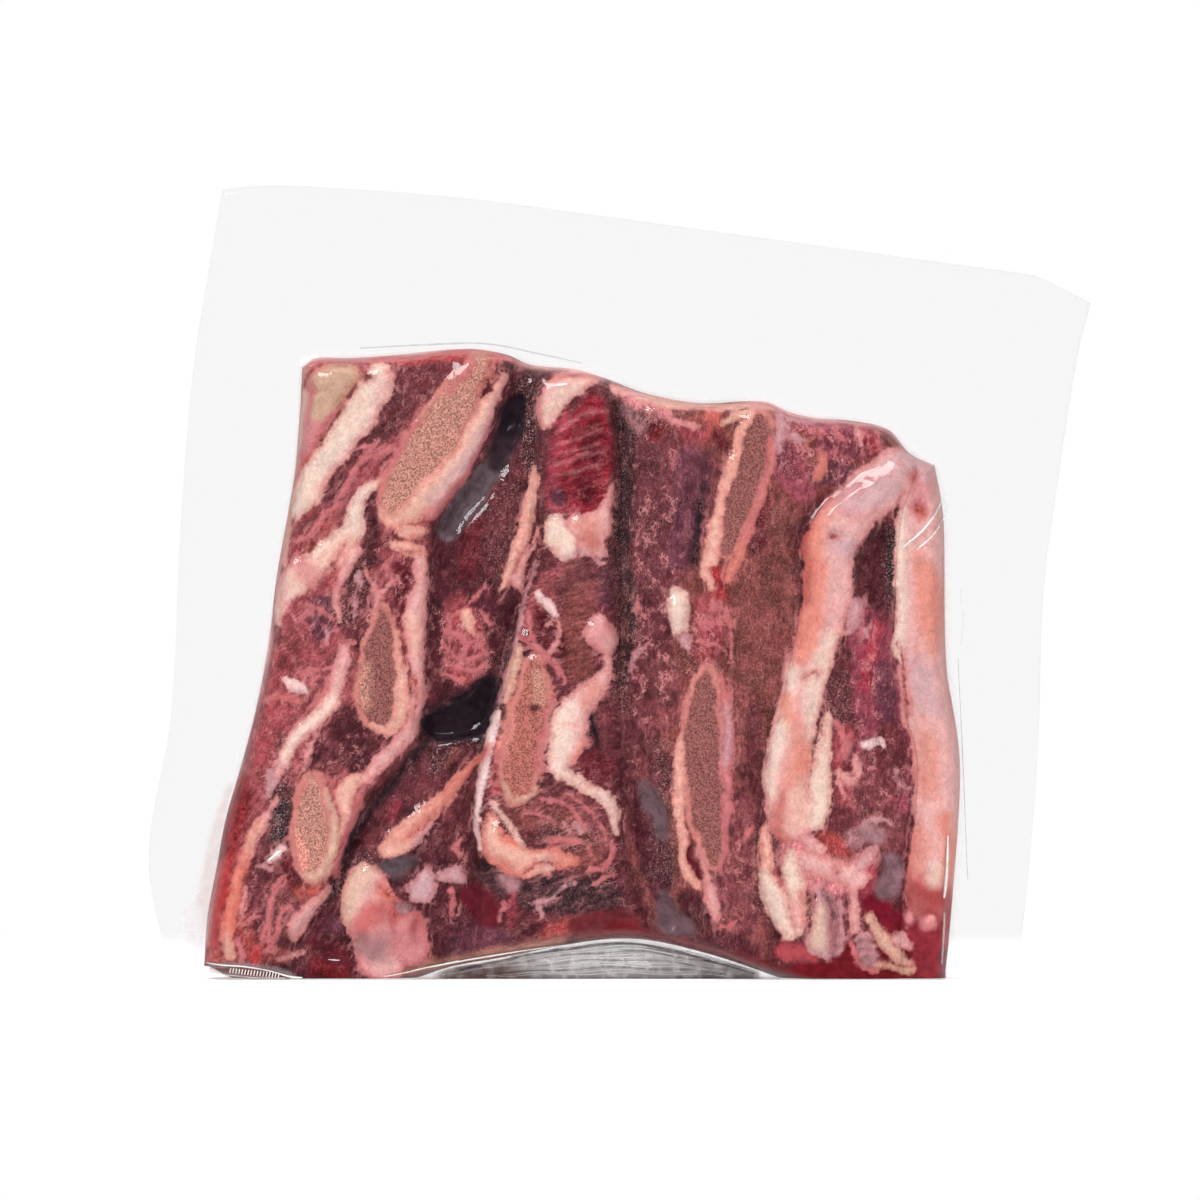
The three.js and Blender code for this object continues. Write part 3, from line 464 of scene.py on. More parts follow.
CENTRE_PIECE = [
    ("lean", "meat_purple", (-12, 125, 8, -14, 118, 7)),
    ("lean", "meat_brown", (-12, 120, 4, -13, 104, 5, -12, 97, 4)),
    ("lean", "violet", (-4.5, 126, 2, -4, 118, 2.4)),
    ("lean", "meat", (-22, 125, 3, -26, 112, 4)),
    ("lean", "meat_brown", (-30, 52, 5, -18, 52, 6, -10, 46, 6, -8, 38, 4)),
    ("lean", "meat_purple", (-24, 57, 3, -14, 54, 3, -7, 48, 3, -5, 41, 2)),
    ("lean", "seam_dark", (-42, 34, 3, -30, 27, 5, -16, 27, 6, -4, 26, 5)),
    ("pool", "maroon", (-46, 26, 3.6, -42, 23, 4.2, -40, 18, 2.6)),
    ("lean", "violet", (-54, 11, 4, -44, 13, 3.4, -36, 13, 3)),
    ("lean", "brick", (-22, 14.5, 3, -16, 17, 2.4)),
    ("lean", "meat_deep", (-34, 20, 3, -28, 17, 2.5)),
    # fat and bright fresh muscle at the top
    ("pale", "pink", (-7.5, 187, 1.6, -13, 185.5, 3, -19, 183, 4.4, -22, 178, 4, -23.4, 173.5, 2)),
    ("tint", "cream", (-12, 184, 2.4, -18, 180.5, 3, -21.5, 175, 2.2)),
    ("tint", "salmon", (-20, 188, 1, -14, 189.2, 1.2, -8, 188.2, 1)),
    ("lean", "rose", (-19, 188.2, 0.8, -14, 189.3, 1.1, -8.5, 188.4, 0.8)),
    ("lean", "magenta", (-17, 172, 4, -18, 160, 4.5, -19, 150, 4)),
    ("lean", "crimson", (-8, 179, 3, -9.5, 170, 6, -11, 160, 7.5, -11, 151, 7)),
    ("lean", "crimson_deep", (-7, 172, 2, -9, 162, 4.2, -11, 152, 3.6)),
    ("lean", "violet", (-19.5, 150, 2.5)),
    ("thread", "rose", (-20, 170.5, 0.3, -14, 173.6, 0.35, -7, 177, 0.45, -4, 177, 0.3),
     (-20.5, 160.5, 0.5, -16, 161.5, 0.4, -10, 163.8, 0.35, -5.5, 164, 0.3),
     (-19, 167, 0.3, -13, 168.5, 0.25, -6, 171.5, 0.3), (-19.5, 156.8, 0.3, -12, 158.4, 0.25, -6, 160.4, 0.3),
     (-18, 164, 0.25, -12, 165.4, 0.25, -7, 167.4, 0.2)),
    # fat below it
    ("pale", "cream", (-20, 142.5, 2.6, -18.5, 137.5, 4.6, -16.5, 133, 3)),
    ("pale", "pink", (-14, 141.5, 3.4, -9, 140, 4.8, -5.6, 143.5, 3, -3.6, 149, 1.4, -2.8, 153.5, 0.7),
     (-10, 135, 4.2, -6.5, 133, 2)),
    ("tint", "rust", (-10, 138.5, 2, -9.6, 135, 2.2)),
    ("tint", "salmon", (-13, 141.5, 1.5, -8, 141, 2)),
    ("tint", "lilac", (-13, 130.5, 3)),
    # white dashes: painted highlights
    ("pale", "lilac", (-7, 132.3, 0.3, -4.5, 131.6, 0.3), (-7.5, 129.6, 0.3, -4.6, 129, 0.3)),
    # veined lean in the middle
    ("lean", "maroon", (-24.5, 114, 2.4, -22, 108.5, 3.6, -20.5, 103.5, 2.8),
     (-17.5, 104, 2.2, -17, 101.5, 1.4)),
    ("pale", "white", (-25, 120.6, 0.7, -22.6, 117, 1.3, -20, 113, 0.8)),
    ("pale", "pink", (-19.6, 112.5, 0.5, -18.8, 109, 0.7, -20.5, 104, 0.6, -22, 101.2, 0.7),
     (-23, 110, 0.4, -20.6, 112.4, 0.4)),
    ("pale", "rose", (-31, 107.6, 0.7, -27.5, 104.5, 0.9, -24, 101.5, 0.9, -20, 98, 0.7, -17.5, 93, 0.5),
     (-28.6, 113.5, 0.8, -28, 108, 0.7, -26, 104.5, 0.5)),
    ("pale", "pink", (-6, 112.5, 1.2, -6.6, 108.5, 4.6, -4.8, 106, 4.2, -3.6, 102, 1.6)),
    ("tint", "rose", (-8, 103.5, 2.4, -2.6, 111, 1.6)),
    # pale line along the edge of the piece: painted highlights on the film's wrinkles
    ("pale", "lilac", (-26, 130, 0.3, -28, 124, 0.4, -30, 116.5, 0.4, -31.5, 110, 0.4, -33, 104, 0.5,
      -34.5, 98, 0.5, -35.8, 92, 0.6, -37.2, 86, 0.8)),
    ("pale", "white", (-38, 83, 0.8, -39, 79, 1.6, -40, 74, 1.4, -41.4, 69, 1.3, -42.4, 63, 1.5,
      -43.6, 57, 1.2, -44.2, 51, 1, -44, 45.5, 0.8, -43, 41.5, 0.6)),
    # bone of the centre piece
    ("pale", "sand", (-31.6, 103, 1.6, -33, 97.5, 1.9, -34.3, 91.5, 1.3, -35.4, 86, 0.8)),
    ("marrow", "marrow_red", (-26.5, 97.5, 2.4, -26.8, 91, 4.2, -27.6, 84, 5, -29.2, 76, 5.1, -30.6, 69, 4.9,
      -31.6, 62.5, 4.4, -32, 58.6, 3.2)),
    ("lean", "salmon", (-33.5, 84, 1, -35.5, 76, 1.4, -37, 69, 1.2)),
    ("lean", "marrow", (-25, 95, 2, -24, 88, 2.4)),
    ("pale", "rose", (-37.2, 71, 0.7, -38.6, 65, 1, -38.6, 59.5, 1.2),
     (-21, 87, 0.8, -22.4, 80, 1.1, -24.4, 72, 1.2, -25.2, 65, 1)),
    ("pale", "sand", (-36.2, 61, 0.7, -35, 57.4, 0.9, -32, 55.6, 1, -28.4, 57, 0.9, -25.8, 60.5, 0.7)),
    ("cut", "brick", (-38.8, 66, 0.8, -38.4, 60, 1.1)),
    ("cut", "meat_deep", (-26.6, 84.4, 0.8, -25.4, 84.8, 0.5)),
    # broad fat that runs down into the tail
    ("pale", "pink", (-3.8, 100, 0.9, -5, 95.5, 1.9, -8.4, 90.5, 3.2, -12.6, 85.6, 4.8, -15.8, 79, 5.7,
      -17, 72, 5.3, -19.4, 66.5, 3.2)),
    ("pale", "cream", (-19, 64.5, 2, -14.6, 63, 1.8, -10.4, 60.5, 1.8, -6.6, 58, 1.9, -3.4, 54.6, 1.8,
      -1.4, 50.5, 1.4, -0.8, 45.5, 0.7)),
    ("tint", "ivory", (-16.5, 84, 3, -18.6, 76, 3.4, -20, 68, 3)),
    ("tint", "salmon", (-8, 91, 1.8, -11, 86, 1.2), (-10.5, 73, 1.8, -13.5, 69, 1.2)),
    ("tint", "rose", (-100, 131, 2.4, -94, 124, 3, -89, 123, 2)),
    # painted shade in a narrow crack
    ("pool", "black", (-8.8, 83, 0.7, -8.4, 79.5, 1, -7.2, 75, 0.7, -6.4, 72.4, 0.3)),
    ("cut", "maroon", (-15, 66.2, 0.4, -11.5, 66.4, 2.2, -8, 66.4, 3.6, -5.4, 66.5, 4)),
    # the curl of meat and fat below the bone
    ("pale", "salmon", (-40, 50, 1.6, -40, 46, 3, -38, 41.5, 4.6, -33, 38, 5.2, -26.5, 36.6, 4.4,
      -20, 37.6, 3.2, -14, 37, 1.6)),
    ("tint", "peach", (-41, 48.5, 1.8, -39, 42.5, 2.2, -30, 38, 3, -26, 33, 2)),
    ("tint", "orange", (-35.5, 45, 1.4, -32, 42.6, 1)),
    ("tint", "cream", (-24, 38.6, 1.2, -22, 34.8, 1.4)),
    ("cut", "brick", (-29.5, 34, 0.5, -26, 36.4, 0.7, -22, 36.4, 0.5, -19, 35.4, 0.4)),
    ("pale", "rose", (-22, 42.5, 1, -17, 43.4, 1, -13, 43, 0.7)),
    ("pale", "cream", (-39.6, 56, 0.6, -38, 52.5, 0.9, -35.4, 49, 1, -33, 46, 0.9, -30.4, 42.6, 0.9)),
    ("pale", "rose", (-25, 57, 0.3, -20, 55.8, 0.5, -15.6, 53.2, 0.6, -12.4, 49.6, 0.5, -11, 46.4, 0.4),
     (-16, 57.5, 0.25, -10, 53, 0.4, -5.5, 48, 0.4, -3.6, 42, 0.3)),
    ("pale", "lilac", (-13.6, 48.6, 0.6, -12, 46, 0.9), (-17.6, 48.6, 0.5, -15.6, 46.4, 0.5)),
    ("pale", "rose", (-30, 52, 0.25, -23, 50.6, 0.35, -18, 46.8, 0.3),
     (-2, 43, 0.4, -2.6, 38.5, 0.7, -5.6, 34.4, 0.8, -9, 35.6, 0.3), (-10, 41.5, 0.3, -7.6, 37.4, 0.4)),
    # mixed meat below
    ("pale", "lilac", (-27.6, 24, 0.5, -24.6, 24.4, 0.9, -21, 26.4, 0.4, -16.6, 29.4, 0.5, -13.4, 31, 0.3),
     (-25.6, 22, 0.8, -24.4, 19.6, 0.5)),
    ("pale", "rose", (-8, 29.4, 0.3, -5.6, 31.4, 0.3, -2, 32.6, 0.3), (-36.6, 24, 0.6, -37, 19, 0.5)),
    ("lean", "magenta", (-33.4, 27, 1, -34, 22, 1, -33.4, 18, 0.8)),
    ("pool", "mauve", (-36.4, 31.6, 1.4, -33.6, 29.8, 2.2)),
    ("pool", "juice_brown", (-14, 17.4, 2.2, -8, 18.6, 3, -1, 18.4, 3.4, 4, 17.4, 2.4)),
    ("pool", "juice_dark", (-2, 15.4, 2.2, 4, 15, 2.2, 12, 13.4, 1.4),
     (-12, 13.4, 1.4, 0, 13.8, 1.4, 12, 12.6, 1.4, 24, 9.8, 1.6, 36, 6.6, 1.8, 48, 3.4, 1.8)),
    ("pool", "brown_film", (-70, 2.2, 1.6, -56, 4.6, 1.8, -44, 7.4, 1.9, -30, 10, 1.6, -18, 12, 1.2)),
]

BROWN_PIECE = [
    ("lean", "meat_umber", (8, 176, 6, 10, 150, 8, 12, 130, 8, 10, 110, 7, 8, 90, 6, 8, 70, 5, 38, 50, 6,
      36, 24, 8, 28, 12, 6)),
    ("lean", "meat_brown", (46, 136, 6, 46, 120, 8, 46, 100, 8)),
    ("lean", "meat_purple", (20, 166, 6, 24, 155, 7, 22, 140, 5)),
    ("lean", "violet", (22, 160, 5, 21, 146, 5, 19, 132, 4)),
    ("lean", "meat_brown", (44, 126, 8, 44, 108, 8, 42, 90, 6, 40, 76, 5)),
    ("lean", "maroon", (45, 148, 2.2, 43, 140, 2.6, 42, 134, 2)),
    ("lean", "meat_wine", (52, 162, 5, 56, 152, 4)),
    ("lean", "meat_dark", (10, 100, 6, 8, 84, 6, 6, 70, 5)),
    ("lean", "meat_purple", (14, 96, 4, 14, 82, 4)),
    ("lean", "meat_deep", (2, 64, 3, 6, 50, 4, 10, 40, 5, 12, 30, 4)),
    ("lean", "meat_purple", (38, 52, 4, 38, 36, 5, 36, 20, 5)),
    ("lean", "meat_deep", (22, 24, 4, 28, 12, 5, 40, 8, 4)),
    ("lean", "meat_dark", (42, 84, 2, 41, 70, 2, 40, 60, 2)),
    ("lean", "meat_red", (27, 116, 4, 27, 106, 5, 26, 100, 3)),
    # painted shade in the seam to the centre piece
    ("lean", "seam_dark", (0, 178, 1, 2, 168, 1.8, 2.6, 158, 1.8, 1.4, 146, 2.6, 0.4, 134, 2.4, 2.4, 122, 2.2,
      3.4, 112, 1.6, 2, 102, 1.8, 1, 92, 1.2)),
    ("lean", "black", (26, 154, 1, 24.6, 146, 1.2, 24, 138, 1.2, 23.6, 130, 1)),
    # rim along the top: fat and frost, with painted light on the top edge
    ("pale", "pink", (-2, 184.6, 1.2, 6, 182, 1.8, 14, 179.8, 1.8, 24, 178.4, 1.4, 34, 178, 1.2,
      42, 178.6, 1.4, 48, 177.4, 1.2)),
    ("tint", "sand", (8, 181.4, 1.2, 20, 179, 1.2, 38, 178.4, 1)),
    ("lean", "rose", (4, 179, 2.4, 14, 176.6, 2)),
    ("lean", "mauve", (3, 176, 2.4, 6, 172, 2.6)),
    ("lean", "juice_dark", (11.5, 172, 2.4, 13, 170, 2, 10, 168.6, 1.2)),
    ("pale", "pink", (16.6, 174, 0.7, 20, 172.5, 1, 24, 171.6, 1)),
    ("lean", "meat_red", (20, 170.6, 2, 26, 169, 2.4)),
    ("lean", "rust", (28, 175, 2.4, 29.4, 172, 1.8)),
    ("lean", "maroon", (30, 170, 1.2, 32, 165, 1.4)),
    ("pale", "sand", (32, 173.6, 1, 36, 175, 1.4, 41, 176.2, 1.3, 45, 177, 1.2)),
    # upper bone of the brown piece
    ("marrow", "marrow_brown", (43.4, 172.6, 3.2, 42, 167, 4.2, 40.4, 160, 4.6, 38, 152, 4.2, 36, 145.6, 3.8,
      34.4, 139.6, 3.2, 33.2, 134, 2)),
    ("pale", "peach", (41, 175, 0.9, 38.4, 171, 1.4, 36.2, 164.6, 1.6, 33.6, 157, 1.7, 31.6, 149.6, 1.6,
      29.8, 143, 1.8, 29, 136.6, 2.2, 28.4, 131, 2.2, 27.4, 126.4, 1.7, 28, 122, 0.8)),
    ("pale", "salmon", (48, 168, 0.8, 46.6, 160, 1.2, 44.2, 152, 1.4, 41.4, 144.6, 1.3, 39, 137, 1.2,
      36, 130, 1.6, 33.4, 124.6, 1.3)),
    ("tint", "rose", (47, 166, 1.4, 43, 149, 1.6, 39, 138, 1.4)),
    ("pale", "lilac", (50, 175.6, 1, 50.4, 170.6, 1.6, 49.4, 165, 0.9)),
    ("cut", "juice_dark", (29.4, 127.6, 1.4, 30, 125.4, 1.2)),
    ("lean", "juice", (29.6, 128, 1.8, 31, 119, 1.6)),
    # curly veins under it
    ("pale", "rose", (25, 112, 0.35, 28, 110.4, 0.5, 31, 111.6, 0.35),
     (24.6, 106, 0.4, 27, 103.6, 0.5, 30, 104.6, 0.5, 33, 101.6, 0.4),
     (28.4, 116.6, 0.4, 31.4, 115.4, 0.5, 33, 112.6, 0.4, 34.4, 106, 0.3, 34, 99, 0.3)),
    ("pale", "cream", (17.8, 119, 2.8, 18, 114.6, 3.6, 18.4, 110.6, 2.8)),
    ("pale", "lilac", (20, 106.6, 1.4, 21.4, 103.4, 1)),
    # lower bone of the brown piece
    ("marrow", "marrow_brown", (27.4, 95, 1.4, 26.6, 89, 3.6, 25.6, 81, 5.2, 25.6, 71, 5.5, 26.2, 61, 5.2,
      27, 51, 4.6, 28.4, 43, 3.2, 29.4, 36.6, 1.5)),
    ("pale", "rose", (31.4, 94, 0.6, 33, 87, 1.2, 33.6, 79, 1.6, 33.8, 70, 1.7, 33.2, 60, 1.6, 32.8, 50, 1.3,
      32.4, 41, 0.9, 31.4, 34, 0.6)),
    ("tint", "lilac", (33.4, 84, 1.2, 33.6, 68, 1.2)),
    ("pale", "peach", (19.6, 77, 0.7, 18.8, 70, 1.4, 18.2, 61.6, 1.7, 18.4, 54, 1.6, 19.4, 48, 1.3,
      19.6, 43, 1.4, 20, 38, 1.7, 21.6, 33.4, 1.6, 24.4, 29.6, 1.2)),
    ("pale", "pink", (23.6, 44, 0.6, 25.4, 38.4, 0.9, 27, 32.6, 0.9, 28.8, 27, 1.7, 29.6, 22.4, 2.1,
      30.4, 19, 0.9)),
    ("pool", "maroon", (21.6, 42.6, 0.5, 22, 38.4, 1, 23.6, 34.6, 1.2, 24.6, 31.8, 0.6)),
    ("pale", "rose", (36, 43, 0.3, 39, 44.6, 0.6, 41.6, 47, 0.4),
     (31, 16.6, 0.4, 34.4, 17.4, 0.5, 37.4, 19.6, 0.4), (4.8, 119.6, 0.25, 6, 115, 0.35, 9, 112, 0.25)),
    ("pale", "lilac", (2.6, 96, 0.4, 4.4, 99.6, 0.6, 7, 102.6, 0.6)),
    # muscle on the right-hand top
    ("lean", "magenta", (56, 172.6, 1.8, 58.4, 171, 1.4)),
    ("lean", "meat_wine", (58, 174, 3, 68, 170, 4, 66, 164, 5, 78, 167, 4)),
    ("lean", "violet", (62, 157, 3, 70, 157, 3)),
    ("lean", "magenta", (76, 170, 2, 79, 166, 2)),
    ("pale", "lilac", (52, 174.6, 0.8, 56, 173.4, 0.6, 60, 173.2, 0.3)),
    ("pale", "rose", (66, 171.6, 0.3, 68, 168, 0.4, 66.6, 163, 0.3),
     (56, 165, 0.25, 60, 168, 0.4, 63, 171, 0.25), (79.6, 171, 0.25, 81, 167.6, 0.4, 80.4, 163.6, 0.3)),
    ("pale", "salmon", (62.4, 164.4, 0.5, 63, 160.4, 1.3, 61.4, 157, 1.5, 59.6, 156.4, 0.5)),
    ("pale", "lilac", (54, 169, 0.9, 57, 167.6, 0.6)),
    ("pale", "pink", (72.6, 172, 0.3, 74, 168.6, 0.5, 75.2, 164, 0.3)),
    ("pale", "rose", (76, 169.4, 0.25, 77.6, 166, 0.4, 78.4, 163.4, 0.25)),
    ("pale", "lilac", (83, 171.4, 0.8, 86, 170, 0.9)),
    # film bubbles over the dark meat
    ("pool", "bubble", (7.8, 60, 1.8, 10, 56, 3.2, 12.4, 51, 2.4, 13.4, 45, 1.6),
     (13, 26.4, 1.4, 14.6, 21, 3.2, 15, 17, 3.6), (19.6, 16.4, 3.4)),
]

CAP_PIECE = [
    ("lean", "meat_wine", (80, 120, 6, 78, 100, 7, 82, 78, 8, 82, 56, 8)),
    ("lean", "meat_purple", (82, 70, 6, 78, 56, 7, 84, 44, 4)),
    ("lean", "magenta", (80, 110, 2.2, 78, 101, 2.4, 76.6, 92, 2.2)),
    ("lean", "meat_dark", (84, 82, 3, 84, 70, 5, 85, 60, 3)),
    ("lean", "violet", (82, 96, 3, 83, 84, 3)),
    ("lean", "meat_dark", (70, 102, 2.4, 68, 92, 2.6, 68, 84, 2.4)),
    ("lean", "meat_red", (70, 76, 3, 68, 68, 2, 70, 56, 2.4)),
    ("lean", "meat_deep", (82, 138.6, 3, 79.4, 132, 4.6, 78.6, 124, 5, 79, 118.6, 3)),
    ("lean", "charcoal", (84.6, 138, 1.2, 84.4, 126, 1.4, 84.4, 114, 1)),
    # cap of fat: broad band from the top right down to the foot
    ("pale", "pink", (92, 163, 3.4, 86, 158.6, 6.6, 79, 152, 7.8, 71.4, 145, 8, 66, 137.6, 8.2,
      64.4, 129, 7.8, 64.4, 120, 7.6, 62.6, 111, 7, 60, 102.6, 6.6, 57.6, 94, 6.6, 55.6, 85, 6.4,
      53.8, 77, 6.8, 52.6, 68, 7, 51.6, 59, 7.2, 53, 50, 6.8)),
    ("pale", "cream", (64.4, 82, 0.9, 63.4, 75, 1.8, 62.6, 67, 3, 62, 58, 3.6, 60.6, 50, 3.6)),
    ("tint", "orange", (60.4, 141, 3.2, 59.6, 132, 3.6, 60, 122, 3.6, 59, 113, 3.6, 57.2, 105, 3.2,
      56, 100, 2)),
    ("tint", "rust", (57.4, 140, 1, 58.4, 128, 1.2, 58.4, 118, 1)),
    ("tint", "salmon", (66, 148, 3, 62, 144, 2.6)),
    ("tint", "cream", (65, 106, 2.6, 62.4, 98, 3, 60.4, 90, 3, 60, 82, 2.4, 62.6, 64, 2.4)),
    ("tint", "ivory", (54, 95, 2, 49.6, 77, 1.6, 47, 68, 2.2, 46.4, 60, 2.2)),
    ("tint", "orange", (51.6, 88, 1.6, 52, 82, 2)),
    ("tint", "salmon", (55, 78, 2.6, 55.6, 70, 3, 54, 62, 3.2)),
    ("tint", "orange", (57.6, 72, 1.4, 56.4, 66, 1.2)),
    ("tint", "rust", (51, 58, 1.4, 49.6, 51, 1.8, 49.6, 45, 1.8, 52, 42.4, 1.2)),
    ("tint", "peach", (55, 58, 2.6, 54.6, 50, 3)),
    ("tint", "lilac", (68, 137, 3, 72, 133, 2), (72, 149, 4, 80, 153, 5, 87, 158, 5)),
    ("tint", "rose", (68, 150, 0.7, 76, 154.6, 0.6, 83, 157.6, 0.6),
     (70, 146, 0.5, 76, 144, 0.6, 79, 146, 0.5)),
    ("cut", "brick", (65.6, 137.8, 0.5, 67.6, 138.2, 0.5)),
    ("cut", "rust", (58, 94.6, 0.3, 60.4, 96, 0.4, 61.4, 94.4, 0.3)),
    ("pale", "lilac", (74, 117, 1.8, 73, 112.6, 2, 71.6, 108.6, 1.2)),
    # small white spots: painted highlights
    ("pale", "white", (76.6, 73, 1.3, 78.6, 73.4, 1.3), (81, 74.4, 0.8, 81.8, 73, 0.9)),
    ("pale", "lilac", (77, 109, 1, 77.4, 107, 0.8)),
    ("pale", "rose", (66, 80, 0.7, 68.4, 77.4, 0.9, 69.6, 73, 0.8, 68, 69, 0.6)),
    ("pale", "pink", (73.4, 69, 1.2, 73.4, 65, 1.4, 71, 62, 1.2, 68, 64.6, 0.9, 68.6, 60, 0.7, 70, 57, 0.5)),
    ("cut", "maroon", (71, 67, 1, 72, 63.6, 0.7)),
    ("pale", "lilac", (86, 66, 0.35, 85.8, 62.6, 0.4, 87.6, 60, 0.4, 90, 59.4, 0.2),
     (75.6, 48.4, 0.5, 79, 50, 0.7, 83, 50, 0.5, 84.6, 48, 0.3)),
    # translucent lean above the foot
    ("lean", "rose", (52, 40, 4, 60, 34, 6, 68, 33, 6, 76, 36, 4)),
    ("lean", "brick", (64, 43, 3.6, 69, 41, 3.4)),
    ("lean", "mauve", (73, 44, 3.2)),
    ("pool", "mauve", (77, 46.6, 2.6, 80, 44.6, 2.6)),
    ("pale", "pink", (57, 37, 2.8, 62, 35.4, 3, 67, 33.6, 3.4, 73.6, 31.4, 3.6),
     (72, 35, 2, 76, 37.6, 2, 79.4, 40.2, 1.3), (58, 43, 2.4, 62, 40, 2)),
    ("tint", "lilac", (75, 37, 1.6, 79.4, 40, 1.2)),
    ("cut", "brick", (66.4, 35.6, 0.25, 67, 33, 0.35)),
    # lower left end of the cap
    ("pale", "peach", (45, 47, 1.6, 45, 40, 1.9, 46, 35, 2.2)),
    ("pale", "cream", (53, 39.4, 1.6, 53, 34.6, 2.4, 55, 27, 2.6, 56, 20, 2.4, 55, 15.6, 1.6),
     (45.4, 32, 2.2, 47.6, 26, 3.8, 50.2, 19.6, 3.6, 52.6, 14.6, 2.2)),
    ("tint", "salmon", (56.6, 27, 1.4, 57, 19, 1.6)),
    ("tint", "pink", (55, 24, 1.6, 55.4, 17, 1.4)),
    ("cut", "coral", (47.6, 35.4, 0.25, 49.4, 31, 0.45, 51, 27.4, 0.3)),
    # loose piece of bone, ridged sinew and a flap of fat in the juice
    ("lean", "magenta", (78, 34, 2.4, 77, 26, 3)),
    ("pool", "crimson_deep", (78, 24, 2.6, 82, 20, 3.6, 86, 18, 3)),
    ("pool", "juice_dark", (70, 8, 4, 84, 12, 5, 98, 12, 6)),
    ("pool", "coral_deep", (51, 9, 2.6, 56, 8.6, 3, 60, 7.4, 2.6)),
    ("pool", "juice_dark", (50, 2.6, 1.8, 60, 2.8, 2.4, 72, 3, 3, 88, 1, 3, 98, 1, 2)),
    ("pale", "lilac", (61.2, 28.2, 0.8, 62.4, 23, 2.4, 62.6, 17, 3, 62, 12, 4.2, 66, 11.4, 3.4, 68, 18, 1.2,
      68.2, 24, 0.9)),
    ("tint", "sand", (62, 22, 1.8, 61.4, 12, 2.6)),
    ("cut", "mauve", (62, 28, 0.5, 65, 25, 1.4, 67, 21.4, 1.1, 66.6, 15, 0.9, 66.8, 9, 1)),
    ("pale", "pink", (72.8, 27, 1, 73, 21.6, 1.6, 73.6, 16.4, 1.6)),
    ("lean", "mauve", (75.4, 12.4, 2.4, 77.4, 7, 2.6)),
    ("pale", "lilac", (73.4, 13.4, 0.5, 76.4, 14.2, 0.6, 78, 13, 0.4),
     (73.6, 11.2, 0.5, 76.6, 11.8, 0.6, 79, 10.6, 0.4), (74.6, 8.8, 0.5, 77.6, 9.2, 0.6, 80, 8, 0.4)),
    ("pale", "rose", (71, 12, 0.4, 73.4, 7.6, 0.6, 76, 4.4, 0.6, 80, 3.6, 0.5)),
    ("pale", "sand", (77.6, 20, 1, 79.4, 16.4, 1.6, 82, 12, 1.9, 85.6, 8.4, 1.9, 89.6, 5.6, 1.2)),
    ("pale", "pink", (85.6, 13.4, 2, 88.6, 12.6, 3, 91.6, 11.6, 2.2)),
    ("tint", "lilac", (90, 13, 1.6)),
    ("pale", "sand", (80, 5.2, 0.6, 84, 4.6, 1, 88, 3.4, 1.2, 91.6, 3.4, 0.8)),
    ("tint", "beige", (84, 4, 1.4, 88, 3, 1.4)),
    ("pool", "dusk", (84.6, 37, 2.2, 85, 32.6, 3, 82.6, 28.6, 3.4)),
]

EDGE_PIECE = [
    ("pale", "pink", (93, 166, 5, 95, 150, 8, 94, 130, 8.5, 94, 110, 8.5, 95, 90, 8.5, 99, 70, 8, 99, 50, 8,
      97, 26, 8)),
    ("tint", "coral", (92, 32, 3, 98, 28, 5)),
    ("tint", "juice", (92, 26, 4, 99, 22, 6)),
    ("pool", "juice_wine", (91, 17, 3, 97, 12, 6, 98, 6, 6)),
    ("lean", "juice", (101, 19, 1.2, 101, 12, 1)),
    ("tint", "salmon", (93, 44, 3, 92, 36, 3)),
    ("tint", "orange", (95, 127, 2.6, 96, 119, 3.6, 96, 110, 3)),
    ("tint", "salmon", (98, 104, 2.4, 98, 118, 2.6, 92, 132, 1.4)),
    ("tint", "lilac", (92, 98, 2.6, 94.6, 93, 3.2, 98, 96, 1.4), (95, 87, 3.4, 98, 85, 3)),
    ("tint", "salmon", (94.6, 75, 2.4, 96, 66, 3, 95, 58, 2)),
    ("tint", "orange", (101, 50, 2, 102, 40, 2, 101.4, 33, 1.8)),
    ("tint", "rose", (94, 155, 4, 93, 147, 2.2)),
    ("tint", "lilac", (90, 163, 3, 96, 158, 3)),
    ("tint", "cream", (97.6, 35, 1.4, 98, 31, 1.8)),
    ("cut", "rust", (92.6, 147.4, 1, 93.4, 144.4, 0.8)),
    ("pale", "ivory", (88.4, 147, 0.7, 87.4, 139, 1, 87, 128, 1.1, 87, 116, 1, 86.6, 106, 1.3, 85.6, 102, 1.4,
      86.6, 98.6, 0.6)),
    ("tint", "ivory", (88, 142, 1, 87.4, 126, 1.2, 87.2, 110, 1.2, 86, 102.6, 1.6)),
    ("cut", "brick", (86.2, 104.4, 0.3, 87.4, 98, 0.35, 88.6, 90, 0.5, 90, 83, 0.4)),
    ("cut", "rust", (91, 156.6, 0.3, 92.2, 157.6, 0.3, 91.6, 158.6, 0.3, 90.4, 157.8, 0.3)),
    ("pool", "rose", (90.3, 20.2, 1.2), (95.8, 18.8, 1.9)),
]

MARKS = LEFT_PIECE + BROWN_PIECE + CENTRE_PIECE + SUNK_PIECE + CAP_PIECE + EDGE_PIECE

# Distances inside a mark's edge (negative outside it) between which its effect grows, and the
# share of the full colour that the weaker kinds reach.
MARK_EDGES = {
    "lean": (-1.6, 1.2), "thread": (-0.8, 0.5), "pale": (-0.7, 0.7), "tint": (-2.6, 1.8),
    "cut": (-1.2, 0.5), "pool": (-1.8, 0.8), "calm": (-0.5, 0.6),
}
THREAD_COVER = 0.45
TINT_COVER = 0.8
PALE_MARGIN = 2.5  # the colour of a pale mark is carried on this far beyond its edge

# Ground tone of the lean meat in each strip, under all marks.
GROUND_TONES = ["meat", "meat_deep", "meat_dark", "meat_brown", "meat_dark", "juice"]

